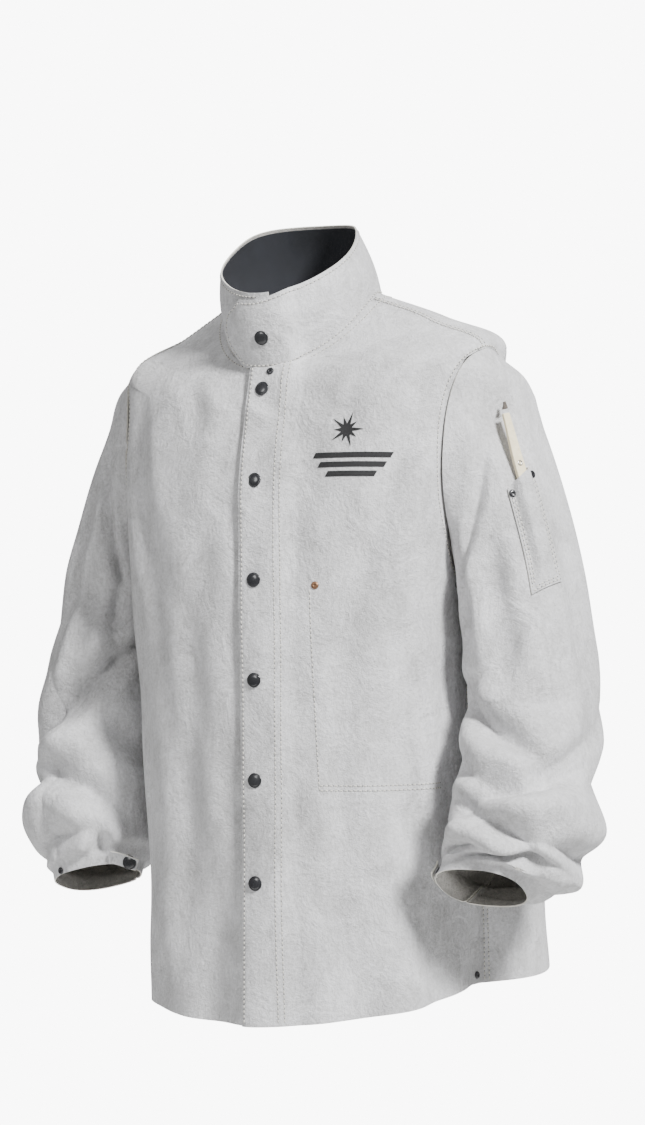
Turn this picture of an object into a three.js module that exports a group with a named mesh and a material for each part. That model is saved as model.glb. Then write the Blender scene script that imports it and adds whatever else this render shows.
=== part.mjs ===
// Leather welding jacket, filled out as it hangs on a standing wearer, in millimetres.
// +X is the wearer's left, -Y is forward, +Z is up; z = 0 is the side of the neck.
import * as THREE from 'three';

// ---- sizes of the jacket ----
const FRONT_LENGTH = 762;          // side of the neck to the front of the hem
const CHEST_WIDTH = 360;           // across the body at the underarm
const SHOULDER_WIDTH = 408;        // shoulder tip to shoulder tip
const SHOULDER_SWAY = 11;          // the shoulders sit this far toward the wearer's left
const RIGHT_SHOULDER_DROP = 16;    // the right shoulder hangs lower than the left
const NECK_WIDTH = 164;            // across the neck seam
const CHEST_FRONT_REACH = 142;     // front of the chest ahead of the shoulder line
const CHEST_BACK_REACH = 120;      // back of the chest behind the shoulder line
const UNDERARM_DEPTH = 310;        // underarm below the side of the neck
const SHOULDER_DROP = 66;          // shoulder tip below the side of the neck
const HEM_SWAY = 18;               // the hem hangs this far toward the wearer's left
const HEM_FLARE = 82;              // how far the hem stands out behind the left side seam
const FLARE_AT = 130;              // degrees round from the front
const FLARE_SPREAD = 40;
const FLARE_START_ROW = 1.7;       // the flare begins at this row and is full one row lower
const COLLAR_RISE = 76;            // height of the collar at the front
const COLLAR_TOP_WIDTH = 142;      // across the top edge of the collar

// ---- leather and the layers of the closed front, measured out from the body surface ----
const LEATHER = 1.6;
const LAYER_GAP = 0.9;
const SEAM_GAP_DEG = 0.4;
const SNAP_ROOM = 2.6;             // space between right and left fronts for the snaps
const FACING_LIFT = LEATHER + SNAP_ROOM;
const FLAP_LIFT = FACING_LIFT + LEATHER + LAYER_GAP;

// ---- closing edge, across the front ----
const SNAP_LINE_TOP_X = 4;
const SNAP_LINE_SLOPE = 0.03;      // snap line drifts left as it goes down
const LAP_BEYOND_SNAPS = 17;
const UNDERLAP_BEYOND_SNAPS = 18;
const COLLAR_UNDERLAP_BEYOND_SNAPS = 9;
const FACING_BEYOND_SNAPS = 25;
const FOLD_BEYOND_SNAPS = 40;
const SNAP_Z = [-114, -208, -309, -411, -513, -617];

// ---- snap fasteners and rivets ----
const CAP_RADIUS = 7.6;
const CAP_HEIGHT = 2.4;
const STUD_RADIUS = 3.0;
const SOCKET_CLEARANCE = 1.5;
const SOCKET_WALL = 1.6;
const RIVET_RADIUS = 4.0;
const RIVET_HEIGHT = 1.8;
const SIDE_RIVET_Z = -722;
const NECK_RIVET_Z = -97;
const FASTENER_GAP = 0.5;

// ---- sleeves ----
const SLEEVE_WIDTH = 127;          // across the sleeve at the elbow
const SLEEVE_DEPTH = 156;          // front to back at the elbow
const CUFF_WIDTH = 92;
const CUFF_DEPTH = 88;
const ELBOW_DEPTH = 439;           // elbow below the side of the neck
const SLEEVE_CLEARANCE = 3;        // between the sleeve and the body at the underarm
const ELBOW_CLEARANCE = 14;        // between the sleeve and the body at the elbow
const ARMHOLE_LIFT = 4;            // sleeve starts this far off the body surface
const ARMHOLE_HALF_ANGLE = 20;     // half the armhole's width, in degrees round the body
const ELBOW_GAP = 2;
const LEFT_WRIST_OUT = 61;          // middle of the cuff to the side of the body
const RIGHT_WRIST_OUT = 49;
const LEFT_WRIST = [CHEST_WIDTH / 2 + LEFT_WRIST_OUT, -105, -617];
const RIGHT_WRIST = [CHEST_WIDTH / 2 + RIGHT_WRIST_OUT, -50, -634];
const RIGHT_TAB_OPEN = 66;         // degrees the right cuff tab stands open

// ---- sleeve pocket, marker, inside pocket ----
const SLEEVE_POCKET_WIDTH = 38;
const SLEEVE_POCKET_TOP = 0.42;    // fraction of the upper sleeve from armhole to elbow
const SLEEVE_POCKET_BOTTOM = 0.72;
const SLEEVE_POCKET_ROOM = 11;
const MARKER_WIDTH = 12;
const MARKER_THICKNESS = 4.4;
const MARKER_LENGTH = 135;
const MARKER_SHOWING = 76;
const MARKER_LIFT = 4.6;
const INSIDE_POCKET_TOP_Z = -318;
const INSIDE_POCKET_BOTTOM_Z = -522;
const INSIDE_POCKET_ROOM = 16;

const RAD = Math.PI / 180;
const SIDE_SEAM = 95;              // degrees round from the front
const SHOULDER_SEAM = 80;
const UNDERARM_ROW = 3;
const TIP_ROW = 5;
const NECK_ROW = 7;

// ---- materials ----
function material(colour, roughness, metalness) {
  return new THREE.MeshStandardMaterial({ color: colour, roughness, metalness });
}
const suede = material(0xc9c7c3, 0.95, 0);
const suedeInside = material(0xbdb8ae, 0.95, 0);
const liningCloth = material(0x23252b, 0.9, 0);
const blackEnamel = material(0x17181a, 0.3, 0.6);
const nickel = material(0x9a9a98, 0.35, 0.9);
const bronze = material(0x6d5138, 0.4, 0.8);
const soapstone = material(0xe9dfb4, 0.7, 0);

// ---- small helpers ----
function lerp(a, b, t) {
  return a + (b - a) * t;
}

function smooth(t) {
  const c = Math.min(1, Math.max(0, t));
  return c * c * (3 - 2 * c);
}

// Slope at a station that never overshoots its neighbours.
function gentleSlope(before, after) {
  return before * after > 0 ? (2 * before * after) / (before + after) : 0;
}

// A smooth curve through evenly spaced values.
function through(values, t) {
  const last = values.length - 1;
  const i = Math.min(last - 1, Math.max(0, Math.floor(t)));
  const f = Math.min(1, Math.max(0, t - i));
  const rise = values[i + 1] - values[i];
  const start = i > 0 ? gentleSlope(values[i] - values[i - 1], rise) : rise;
  const end = i + 2 <= last ? gentleSlope(rise, values[i + 2] - values[i + 1]) : rise;
  const bend = (start - rise) * f * (1 - f) ** 2 + (rise - end) * f * f * (1 - f);
  return values[i] + rise * f + bend;
}

function pickRow(rows, t) {
  const s = t * (rows.length - 1);
  const i = Math.min(rows.length - 2, Math.floor(s + 1e-9));
  return lerp(rows[i], rows[i + 1], s - i);
}

// Outward normal of any surface function f(a, b), by small steps within its limits.
function surfaceNormal(f, a, b, step, lowB, highB) {
  const b0 = Math.max(lowB, b - step);
  const b1 = Math.min(highB, b + step);
  const da = f(a + step, b).sub(f(a - step, b));
  const db = f(a, b1).sub(f(a, b0));
  return da.cross(db).normalize();
}

// ---- the body surface: rings from the hem (row 0) to the neck seam (row 7) ----
const belowUnderarm = FRONT_LENGTH - UNDERARM_DEPTH;
const bodyZ = (fraction) => -UNDERARM_DEPTH - belowUnderarm * fraction;
const chestHalf = CHEST_WIDTH / 2;
const ring = {
  half: [0.967, 0.956, 0.956, 1.0, 1.055].map((k) => k * chestHalf)
    .concat([SHOULDER_WIDTH / 2, SHOULDER_WIDTH * 0.355, NECK_WIDTH / 2]),
  centre: [1, 0.67, 0.17, -0.2].map((k) => k * HEM_SWAY)
    .concat([0.3, 1, 0.6, 0].map((k) => k * SHOULDER_SWAY)),
  front: [1.11, 1.07, 1.03, 1, 0.97, 0.86, 0.79, 0.725].map((k) => k * CHEST_FRONT_REACH),
  back: [1.25, 1.16, 1.06, 1, 0.98, 0.875, 0.71, 0.54].map((k) => k * CHEST_BACK_REACH),
  frontZ: [bodyZ(1), bodyZ(0.64), bodyZ(0.31), -UNDERARM_DEPTH, -230, -150, -115, -88],
  sideZ: [bodyZ(0.945), bodyZ(0.64), bodyZ(0.31), -UNDERARM_DEPTH, -190,
    -SHOULDER_DROP - RIGHT_SHOULDER_DROP / 2, -SHOULDER_DROP / 2 - RIGHT_SHOULDER_DROP * 0.4, -8],
  backZ: [bodyZ(0.9), bodyZ(0.62), bodyZ(0.31), -UNDERARM_DEPTH, -180, -70, -25, 12],
  tiltZ: [6, 3, 0, 0, 0, 0.5 * RIGHT_SHOULDER_DROP, 0.4 * RIGHT_SHOULDER_DROP, 0],
  square: [2.4, 2.5, 2.6, 2.8, 3, 2.8, 2.4, 2],
};

// The back of the hem swings out past the left side seam.
function hemFlare(phi, h) {
  const turn = Math.abs((((phi % 360) + 360) % 360) - FLARE_AT) / FLARE_SPREAD;
  return HEM_FLARE * smooth(1 - turn) * smooth(FLARE_START_ROW - h);
}

function body(phi, h) {
  const s = Math.sin(phi * RAD);
  const c = Math.cos(phi * RAD);
  const n = through(ring.square, h);
  const depth = through(c > 0 ? ring.front : ring.back, h);
  const half = through(ring.half, h);
  const r = (Math.abs(s) / half) ** n + (Math.abs(c) / depth) ** n;
  const radius = r ** (-1 / n) + hemFlare(phi, h);
  const sideZ = through(ring.sideZ, h);
  const endZ = through(c > 0 ? ring.frontZ : ring.backZ, h);
  const slump = c > 0 ? c ** 1.4 : c * c;
  const z = sideZ + (endZ - sideZ) * slump + through(ring.tiltZ, h) * s;
  return new THREE.Vector3(through(ring.centre, h) + radius * s, -radius * c, z);
}

function bodyNormal(phi, h) {
  return surfaceNormal(body, phi, h, 0.02, 0, NECK_ROW);
}

// Angle round the body of a point on the front at a given X.
function frontAngle(x, h) {
  const dx = x - through(ring.centre, h);
  return Math.atan2(dx, through(ring.front, h)) / RAD;
}

function snapLineX(h) {
  const z = through(ring.frontZ, h);
  return SNAP_LINE_TOP_X + SNAP_LINE_SLOPE * (SNAP_Z[0] - z);
}

// Front of the armhole (-1) or back of it (+1), as an angle at a row between 3 and 5.
function armholeAngle(h, side) {
  const s = Math.min(1, Math.max(-1, h - (UNDERARM_ROW + TIP_ROW) / 2));
  const middle = lerp(SIDE_SEAM, SHOULDER_SEAM, (s + 1) / 2);
  return middle + side * ARMHOLE_HALF_ANGLE * Math.sqrt(1 - s * s);
}

const halfSeam = SEAM_GAP_DEG / 2;
const flapTopRow = 6.75;
const bodyRows = [0, 0.5, 1, 1.5, 2, 2.5, 3, 3.08, 3.3, 3.6, 4, 4.4, 4.7, 4.92, 5, 5.5, 6, 6.5, 7];

const flapRows = [...bodyRows.slice(0, -1), flapTopRow];

// ---- panels: a thin sheet laid on a surface, one closed body ----
function faceOutward(geometry) {
  const p = geometry.attributes.position;
  const index = geometry.index.array;
  let volume = 0;
  const a = new THREE.Vector3();
  const b = new THREE.Vector3();
  const c = new THREE.Vector3();
  for (let i = 0; i < index.length; i += 3) {
    a.fromBufferAttribute(p, index[i]);
    b.fromBufferAttribute(p, index[i + 1]);
    c.fromBufferAttribute(p, index[i + 2]);
    volume += a.dot(b.cross(c));
  }
  if (volume < 0) {
    for (let i = 0; i < index.length; i += 3) {
      const keep = index[i + 1];
      index[i + 1] = index[i + 2];
      index[i + 2] = keep;
    }
  }
  geometry.deleteAttribute('uv');
  geometry.computeVertexNormals();
  return geometry;
}

// place(s, t) gives { point, normal, lift } for s along and t up the panel.
function panel(name, columns, rows, place, finish) {
  const geometry = new THREE.BoxGeometry(1, 1, 1, columns, rows, 1);
  const p = geometry.attributes.position;
  for (let i = 0; i < p.count; i += 1) {
    const at = place(p.getX(i) + 0.5, p.getY(i) + 0.5);
    const offset = at.lift + (p.getZ(i) + 0.5) * (at.thickness ?? LEATHER);
    const q = at.point.addScaledVector(at.normal, offset);
    p.setXYZ(i, q.x, q.y, q.z);
  }
  const mesh = new THREE.Mesh(faceOutward(geometry), finish);
  mesh.name = name;
  return mesh;
}

// A panel on the body between two angle limits, each a function of the row.
function bodyPanel(name, angles, columns, liftAt, finish, rows = bodyRows) {
  return panel(name, columns, rows.length - 1, (s, t) => {
    const h = pickRow(rows, t);
    const phi = angles(s, h);
    return { point: body(phi, h), normal: bodyNormal(phi, h), lift: liftAt(s, h) };
  }, finish);
}

function frontLimit(h) {
  return h < UNDERARM_ROW ? SIDE_SEAM : armholeAngle(Math.min(h, TIP_ROW), -1);
}

function backLimit(h) {
  return h < UNDERARM_ROW ? SIDE_SEAM : armholeAngle(Math.min(h, TIP_ROW), 1);
}

// Evenly spaced stations between a and b, after the fixed ones.
function stations(fixed, from, to, count) {
  const list = [...fixed];
  for (let i = 0; i <= count; i += 1) {
    list.push(lerp(from, to, i / count));
  }
  return list;
}

function frontX(distance, h) {
  return frontAngle(snapLineX(h) + distance, h);
}

function buildBackPanel() {
  const angles = (s, h) => {
    const left = backLimit(h) + halfSeam;
    return lerp(left, 360 - left, s);
  };
  return bodyPanel('back_panel', angles, 14, () => 0, suede);
}

function buildLeftFrontPanel() {
  const angles = (s, h) => {
    const fold = frontX(FOLD_BEYOND_SNAPS, h) + halfSeam;
    return lerp(fold, frontLimit(h) - halfSeam, s);
  };
  return bodyPanel('left_front_panel', angles, 6, () => 0, suede);
}

function buildRightFrontPanel() {
  const angles = (s, h) => {
    const edge = frontX(UNDERLAP_BEYOND_SNAPS, h);
    const facing = frontX(-UNDERLAP_BEYOND_SNAPS, h);
    const list = stations([edge, frontX(0, h)], facing, -(frontLimit(h) - halfSeam), 6);
    return pickRow(list, s);
  };
  return bodyPanel('right_front_panel', angles, 8, () => 0, suede);
}

function buildRightFacing() {
  const angles = (s, h) => {
    const list = [UNDERLAP_BEYOND_SNAPS, 0, -UNDERLAP_BEYOND_SNAPS].map((d) => frontX(d, h));
    return pickRow(list, s);
  };
  return bodyPanel('right_front_facing', angles, 2, () => -LAYER_GAP - LEATHER - 0.5, suedeInside);
}

function buildLeftFlap() {
  const marks = [-LAP_BEYOND_SNAPS, 0, FACING_BEYOND_SNAPS, FOLD_BEYOND_SNAPS];
  const lifts = [FLAP_LIFT, FLAP_LIFT, FLAP_LIFT, 0];
  const angles = (s, h) => {
    const list = marks.map((d) => frontX(d, h));
    list[3] -= halfSeam;
    return pickRow(list, s);
  };
  return bodyPanel('left_front_flap', angles, 3, (s) => pickRow(lifts, s), suede, flapRows);
}

function buildLeftFacing() {
  const marks = [-LAP_BEYOND_SNAPS, 0, FACING_BEYOND_SNAPS - 1];
  const angles = (s, h) => pickRow(marks.map((d) => frontX(d, h)), s);
  return bodyPanel('left_front_facing', angles, 2, () => FACING_LIFT, suedeInside, flapRows);
}

// ---- collar: from the neck seam (t = 0) to the top edge (t = 1) ----
const COLLAR_TOP_CENTRE_Y = -45;
const COLLAR_TOP_DEPTH = 75;
const NECK_SEAM_GAP = 1.6;
const collarRows = [0, 0.2, 0.4, 0.6, 0.8, 1];
const neckMiddleY = (ring.back[NECK_ROW] - ring.front[NECK_ROW]) / 2;
const neckHalfDepth = (ring.back[NECK_ROW] + ring.front[NECK_ROW]) / 2;

function collar(phi, t) {
  const base = body(phi, NECK_ROW);
  const angle = Math.atan2(base.x / (NECK_WIDTH / 2), -(base.y - neckMiddleY) / neckHalfDepth);
  const c = Math.cos(angle);
  const backDip = 30 * Math.max(0, -c - 0.3) ** 2;
  const top = new THREE.Vector3(
    (COLLAR_TOP_WIDTH / 2) * Math.sin(angle),
    COLLAR_TOP_CENTRE_Y - COLLAR_TOP_DEPTH * c,
    ring.frontZ[NECK_ROW] + COLLAR_RISE + 50 * (1 - c) - backDip,
  );
  base.z += NECK_SEAM_GAP + (LEATHER + 1.2) * Math.max(0, bodyNormal(phi, NECK_ROW).z);
  const belly = 4 * Math.sin(Math.PI * t);
  const p = base.lerp(top, t);
  p.x += belly * Math.sin(angle);
  p.y -= belly * c;
  return p;
}

function collarNormal(phi, t) {
  return surfaceNormal(collar, phi, t, 0.02, 0, 1);
}

// Angle at which the collar's base has a given X, at the front.
function collarAngle(x) {
  return frontAngle(x, NECK_ROW);
}

function collarPanel(name, angles, columns, lift, finish) {
  return panel(name, columns, collarRows.length - 1, (s, t) => {
    const v = pickRow(collarRows, t);
    const phi = angles(s, v);
    return { point: collar(phi, v), normal: collarNormal(phi, v), lift: lift(s) };
  }, finish);
}

const collarFoldX = SNAP_LINE_TOP_X + FOLD_BEYOND_SNAPS;
const collarUnderX = SNAP_LINE_TOP_X + COLLAR_UNDERLAP_BEYOND_SNAPS;
const collarTabRows = [-20, -32, -42, -46, -36, -12];   // X of the tab's end, row by row

function buildCollar(name, lift, finish) {
  const fold = collarAngle(collarFoldX) + 0.6;
  const list = stations([], fold, 352, 17).concat([360, 360 + collarAngle(collarUnderX)]);
  return collarPanel(name, (s) => pickRow(list, s), list.length - 1, () => lift, finish);
}

const collarSnapColumns = [-10, 0, 10].map((d) => SNAP_LINE_TOP_X + d);

// The collar's free left end: its corner is rounded and its top edge dips below the rest.
function tabPanel(name, xsAt, liftAt, finish) {
  return panel(name, xsAt(0).length - 1, collarRows.length - 1, (s, t) => {
    const x = pickRow(xsAt(t), s);
    const dip = 0.1 * smooth((collarFoldX - x) / 50);
    const v = pickRow(collarRows, t) * (1 - dip);
    const phi = collarAngle(x);
    return { point: collar(phi, v), normal: collarNormal(phi, v), lift: liftAt(x) };
  }, finish);
}

function buildCollarFlap() {
  const flatTo = collarFoldX - 13;
  const xsAt = (t) => [pickRow(collarTabRows, t), ...collarSnapColumns, flatTo, collarFoldX];
  const liftAt = (x) => (FLAP_LIFT + 1.4) * (1 - Math.max(0, (x - flatTo) / 13));
  return tabPanel('collar_flap', xsAt, liftAt, suede);
}

function buildCollarFlapLining() {
  const xsAt = (t) => [pickRow(collarTabRows, t) + 1, ...collarSnapColumns, collarFoldX - 14];
  return tabPanel('collar_flap_lining', xsAt, () => FACING_LIFT + 0.8, liningCloth);
}

// ---- snap fasteners and rivets: turned parts seated on a surface ----
function turned(name, profile, seat, lift, finish, segments = 12) {
  const points = profile.map(([r, y]) => new THREE.Vector2(r, y));
  const geometry = new THREE.LatheGeometry(points, segments);
  const turn = new THREE.Quaternion();
  turn.setFromUnitVectors(new THREE.Vector3(0, 1, 0), seat.normal);
  geometry.applyQuaternion(turn);
  const at = seat.point.clone().addScaledVector(seat.normal, lift);
  geometry.translate(at.x, at.y, at.z);
  const mesh = new THREE.Mesh(faceOutward(geometry), finish);
  mesh.name = name;
  return mesh;
}

function domeProfile(radius, height) {
  return [
    [0, 0], [radius * 0.93, 0], [radius, height * 0.3], [radius * 0.88, height * 0.7],
    [radius * 0.5, height * 0.95], [0, height],
  ];
}

function studProfile() {
  const neck = STUD_RADIUS * 0.8;
  return [[0, 0], [neck, 0], [neck, 0.7], [STUD_RADIUS, 1.0], [neck, 1.5], [0, 1.5]];
}

function socketProfile() {
  const inner = STUD_RADIUS + SOCKET_CLEARANCE;
  const outer = inner + SOCKET_WALL;
  const height = 1.2;
  return [[inner, 0], [outer, 0], [outer, height], [inner, height], [inner, 0]];
}

function seatOnSnapLine(z) {
  const heights = bodyRows.map((h) => body(frontX(0, h), h).z);
  let i = 0;
  while (i < heights.length - 2 && heights[i + 1] < z) {
    i += 1;
  }
  const f = (z - heights[i]) / (heights[i + 1] - heights[i]);
  const low = bodyRows[i];
  const high = bodyRows[i + 1];
  const point = body(frontX(0, low), low).lerp(body(frontX(0, high), high), f);
  const normal = bodyNormal(frontX(0, low), low).lerp(bodyNormal(frontX(0, high), high), f);
  return { point, normal: normal.normalize() };
}

function buildSnap(seat, capName, socketName, studName, extraLift = 0) {
  const socketLift = FACING_LIFT - FASTENER_GAP - 1.2;
  const studLift = LEATHER + FASTENER_GAP - 0.2;
  return {
    cap: turned(capName, domeProfile(CAP_RADIUS, CAP_HEIGHT), seat,
      FLAP_LIFT + LEATHER + FASTENER_GAP + extraLift, blackEnamel),
    socket: turned(socketName, socketProfile(), seat, socketLift, nickel),
    stud: turned(studName, studProfile(), seat, studLift, nickel, 10),
  };
}

function seatOnCollar(x, t) {
  const phi = collarAngle(x);
  return { point: collar(phi, t), normal: collarNormal(phi, t) };
}

function rivet(name, seat, lift, finish = blackEnamel) {
  return turned(name, domeProfile(RIVET_RADIUS, RIVET_HEIGHT), seat, lift, finish, 10);
}

function seatOnBody(phi, h) {
  return { point: body(phi, h), normal: bodyNormal(phi, h) };
}

// Row whose height at this angle is z.
function rowAt(phi, z) {
  let low = 0;
  let high = NECK_ROW;
  for (let i = 0; i < 40; i += 1) {
    const middle = (low + high) / 2;
    if (body(phi, middle).z < z) {
      low = middle;
    } else {
      high = middle;
    }
  }
  return low;
}

// ---- inside pocket: a patch on the inner face of the left front, open at the top ----
const insidePocketFrom = 27;
const insidePocketTo = 88;

function buildInsidePocket() {
  return panel('inside_pocket', 6, 5, (s, t) => {
    const phi = lerp(insidePocketFrom, insidePocketTo, s);
    const z = lerp(INSIDE_POCKET_BOTTOM_Z, INSIDE_POCKET_TOP_Z, t);
    const h = rowAt(phi, z);
    const room = INSIDE_POCKET_ROOM * Math.sin(Math.PI * s) * smooth(t * 1.6);
    const lift = -LEATHER - 1.6 - room;
    return { point: body(phi, h), normal: bodyNormal(phi, h), lift };
  }, suedeInside);
}

// ---- sleeves: rings of outer point, inner point and half depth ----
// side is +1 for the left sleeve, -1 for the right; X is measured outward for both.
function sleeveSide(z, side) {
  const phi = 90 * side;
  const down = (-z - UNDERARM_DEPTH) / (ELBOW_DEPTH - UNDERARM_DEPTH);
  const clearance = lerp(SLEEVE_CLEARANCE, ELBOW_CLEARANCE, Math.max(0, down));
  return Math.abs(body(phi, rowAt(phi, z)).x) + LEATHER + clearance;
}

function shoulderTip(side) {
  return Math.abs(body(SHOULDER_SEAM * side, TIP_ROW).x);
}

// Rings of the upper sleeve after the armhole.
function upperRings(side) {
  const elbowInner = sleeveSide(-ELBOW_DEPTH, side);
  const tip = shoulderTip(side);
  const atElbow = elbowInner + SLEEVE_WIDTH;
  const hang = (z) => sleeveSide(z, side);
  return [
    { outer: [tip + 25, 18, -112], inner: [hang(-322), 20, -322] },
    { outer: [lerp(tip, atElbow, 0.46), 20, -178], inner: [hang(-340), 20, -340] },
    { outer: [lerp(tip, atElbow, 0.68), 21, -258], inner: [hang(-366), 20, -366] },
    { outer: [lerp(tip, atElbow, 0.87), 18, -343], inner: [hang(-399), 18, -399] },
    { outer: [atElbow, 15, -ELBOW_DEPTH], inner: [elbowInner, 15, -ELBOW_DEPTH] },
  ].map((r) => ({ ...r, depth: SLEEVE_DEPTH / 2, lean: 0 }));
}

// Rings of the lower sleeve: it blouses over the cuff, which turns forward with the forearm.
function lowerRings(side, wrist, tilt, blouse, roll) {
  const inner = sleeveSide(-ELBOW_DEPTH, side);
  const elbow = [inner + SLEEVE_WIDTH / 2, 15, -ELBOW_DEPTH - ELBOW_GAP];
  const shape = [
    { along: 0, wide: 1, deep: 1, turn: 0, out: 0 },
    { along: 0.3, wide: 1.02, deep: 0.97, turn: 0.4, out: 0.5 },
    { along: 0.6, wide: 1.05, deep: 0.97, turn: 0.8, out: 1 },
    { along: 0.84, wide: 0.98, deep: 0.86, turn: 1, out: 0.9 },
    { along: 0.93, wide: 0.77, deep: 0.64, turn: 1, out: 0.35 },
    { along: 1, wide: CUFF_WIDTH / SLEEVE_WIDTH, deep: CUFF_DEPTH / SLEEVE_DEPTH, turn: 1, out: 0 },
  ];
  return shape.map(({ along, wide, deep, turn, out }) => {
    const c = elbow.map((v, i) => lerp(v, wrist[i], along));
    const half = (SLEEVE_WIDTH / 2) * wide;
    const x = c[0] + blouse * out;
    return {
      outer: [x + half, c[1], c[2] - blouse * 0.4 * out - roll * turn],
      inner: [x - half, c[1], c[2] + roll * turn],
      depth: (SLEEVE_DEPTH / 2) * deep,
      lean: tilt * turn,
    };
  });
}

function ringPoint(rings, psi, k) {
  const get = (pick) => through(rings.map(pick), k);
  const outer = new THREE.Vector3(get((r) => r.outer[0]), get((r) => r.outer[1]),
    get((r) => r.outer[2]));
  const inner = new THREE.Vector3(get((r) => r.inner[0]), get((r) => r.inner[1]),
    get((r) => r.inner[2]));
  const lean = get((r) => r.lean) * RAD;
  const depth = get((r) => r.depth);
  const c = Math.cos(psi * RAD);
  const s = Math.sin(psi * RAD);
  const power = 2 / 2.5;
  const across = Math.sign(c) * Math.abs(c) ** power;
  const forward = Math.sign(s) * Math.abs(s) ** power * depth;
  const middle = outer.clone().add(inner).multiplyScalar(0.5);
  const p = middle.addScaledVector(outer.sub(inner), 0.5 * across);
  p.y -= forward * Math.cos(lean);
  p.z += forward * Math.sin(lean);
  return p;
}

function armholePoint(psi, side) {
  const h = (UNDERARM_ROW + TIP_ROW) / 2 + Math.cos(psi * RAD) * (TIP_ROW - UNDERARM_ROW) / 2;
  const middle = lerp(SIDE_SEAM, SHOULDER_SEAM, (Math.cos(psi * RAD) + 1) / 2);
  const phi = side * (middle - ARMHOLE_HALF_ANGLE * Math.sin(psi * RAD));
  const p = body(phi, h).addScaledVector(bodyNormal(phi, h), ARMHOLE_LIFT);
  p.x *= side;
  return p;
}

// psi: 0 outer, 90 front, 180 inner, 270 back; k: 0 armhole to the last row at the elbow.
function makeUpperSleeve(side) {
  const rings = upperRings(side);
  return (psi, k) => {
    if (k >= 1) {
      return ringPoint(rings, psi, k - 1);
    }
    return armholePoint(psi, side).lerp(ringPoint(rings, psi, 0), k);
  };
}

function makeLowerSleeve(rings) {
  return (psi, k) => ringPoint(rings, psi, k);
}

const lastUpperRow = 5;
const leftUpper = makeUpperSleeve(1);
const rightUpper = makeUpperSleeve(-1);
const leftLower = makeLowerSleeve(lowerRings(1, LEFT_WRIST, 31, 22, 0));
const rightLower = makeLowerSleeve(lowerRings(-1, RIGHT_WRIST, 18, 2, 12));
const lastLowerRow = 5;

function sleevePanel(name, surface, lastRow, psis, rows, lift, finish, mirror, thickness) {
  const [from, to, columns] = psis;
  return panel(name, columns, rows.length - 1, (s, t) => {
    const psi = lerp(from, to, s);
    const k = pickRow(rows, t);
    const seat = seatOnSleeve(surface, lastRow, psi, k, mirror);
    const raised = typeof lift === 'function' ? lift(s, t) : lift;
    return { ...seat, lift: raised, thickness };
  }, finish);
}

function seatOnSleeve(surface, lastRow, psi, k, mirror) {
  const point = surface(psi, k);
  const normal = surfaceNormal(surface, psi, k, 0.02, 0, lastRow);
  if (mirror) {
    point.x *= -1;
    normal.x *= -1;
  }
  return { point, normal };
}

const upperRows = [0, 0.5, 1, 1.7, 2.4, 3.1, 3.9, lastUpperRow];
const lowerRows = [0, 0.6, 1.2, 1.8, 2.4, 3, 3.6, 4.2, lastLowerRow];
const LEFT_SEAMS = [-125, 150];
const RIGHT_SEAMS = [-125, 72];
const SLEEVE_SEAM_GAP = 0.9;

function buildSleeveHalves(side, part, surface, rows, seams, mirror) {
  const [back, front] = seams;
  const outerColumns = Math.round((front - back) / 26);
  const underColumns = Math.round((360 - front + back) / 26);
  const outer = [back + SLEEVE_SEAM_GAP / 2, front - SLEEVE_SEAM_GAP / 2, outerColumns];
  const under = [front + SLEEVE_SEAM_GAP / 2, back + 360 - SLEEVE_SEAM_GAP / 2, underColumns];
  const lastRow = rows[rows.length - 1];
  return [
    sleevePanel(`${side}_${part}_sleeve_outer`, surface, lastRow, outer, rows, -LEATHER, suede,
      mirror),
    sleevePanel(`${side}_${part}_sleeve_under`, surface, lastRow, under, rows, -LEATHER, suede,
      mirror),
  ];
}

// ---- cuff tab: a short strap lying on the inner back of each cuff ----
const TAB_SPAN = 42;               // degrees round the cuff
const CUFF_CAP_GAP = 0.9;
const LEFT_TAB_HINGE = 150;
const RIGHT_TAB_HINGE = 130;

function buildCuffTab(side, surface, hinge, mirror) {
  const rows = [4.0, 4.45, 4.9];
  const psis = [hinge, hinge + TAB_SPAN, 3];
  const seat = seatOnSleeve(surface, lastLowerRow, hinge + TAB_SPAN * 0.78, 4.45, mirror);
  return {
    strap: sleevePanel(`${side}_cuff_tab`, surface, lastLowerRow, psis, rows, 3.6, suede, mirror),
    cap: turned(`${side}_cuff_snap_cap`, domeProfile(CAP_RADIUS, CAP_HEIGHT), seat,
      3.6 + LEATHER + CUFF_CAP_GAP, blackEnamel),
    stud: turned(`${side}_cuff_stud`, studProfile(), seat, FASTENER_GAP, nickel, 10),
  };
}

function turnAbout(mesh, pivot, axis, degrees) {
  const g = mesh.geometry;
  g.translate(-pivot.x, -pivot.y, -pivot.z);
  g.applyQuaternion(new THREE.Quaternion().setFromAxisAngle(axis, degrees * RAD));
  g.translate(pivot.x, pivot.y, pivot.z);
  g.computeVertexNormals();
}

// ---- sleeve pocket and marker ----
const pocketPsi = 41;
const pocketTopRow = SLEEVE_POCKET_TOP * lastUpperRow;
const pocketBottomRow = SLEEVE_POCKET_BOTTOM * lastUpperRow;

const pocketMargin = 0.226;
const pocketFlat = 0.305;

function pocketHalfAngle() {
  return (SLEEVE_POCKET_WIDTH / 2) / (SLEEVE_WIDTH / 2) / RAD;
}

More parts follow.
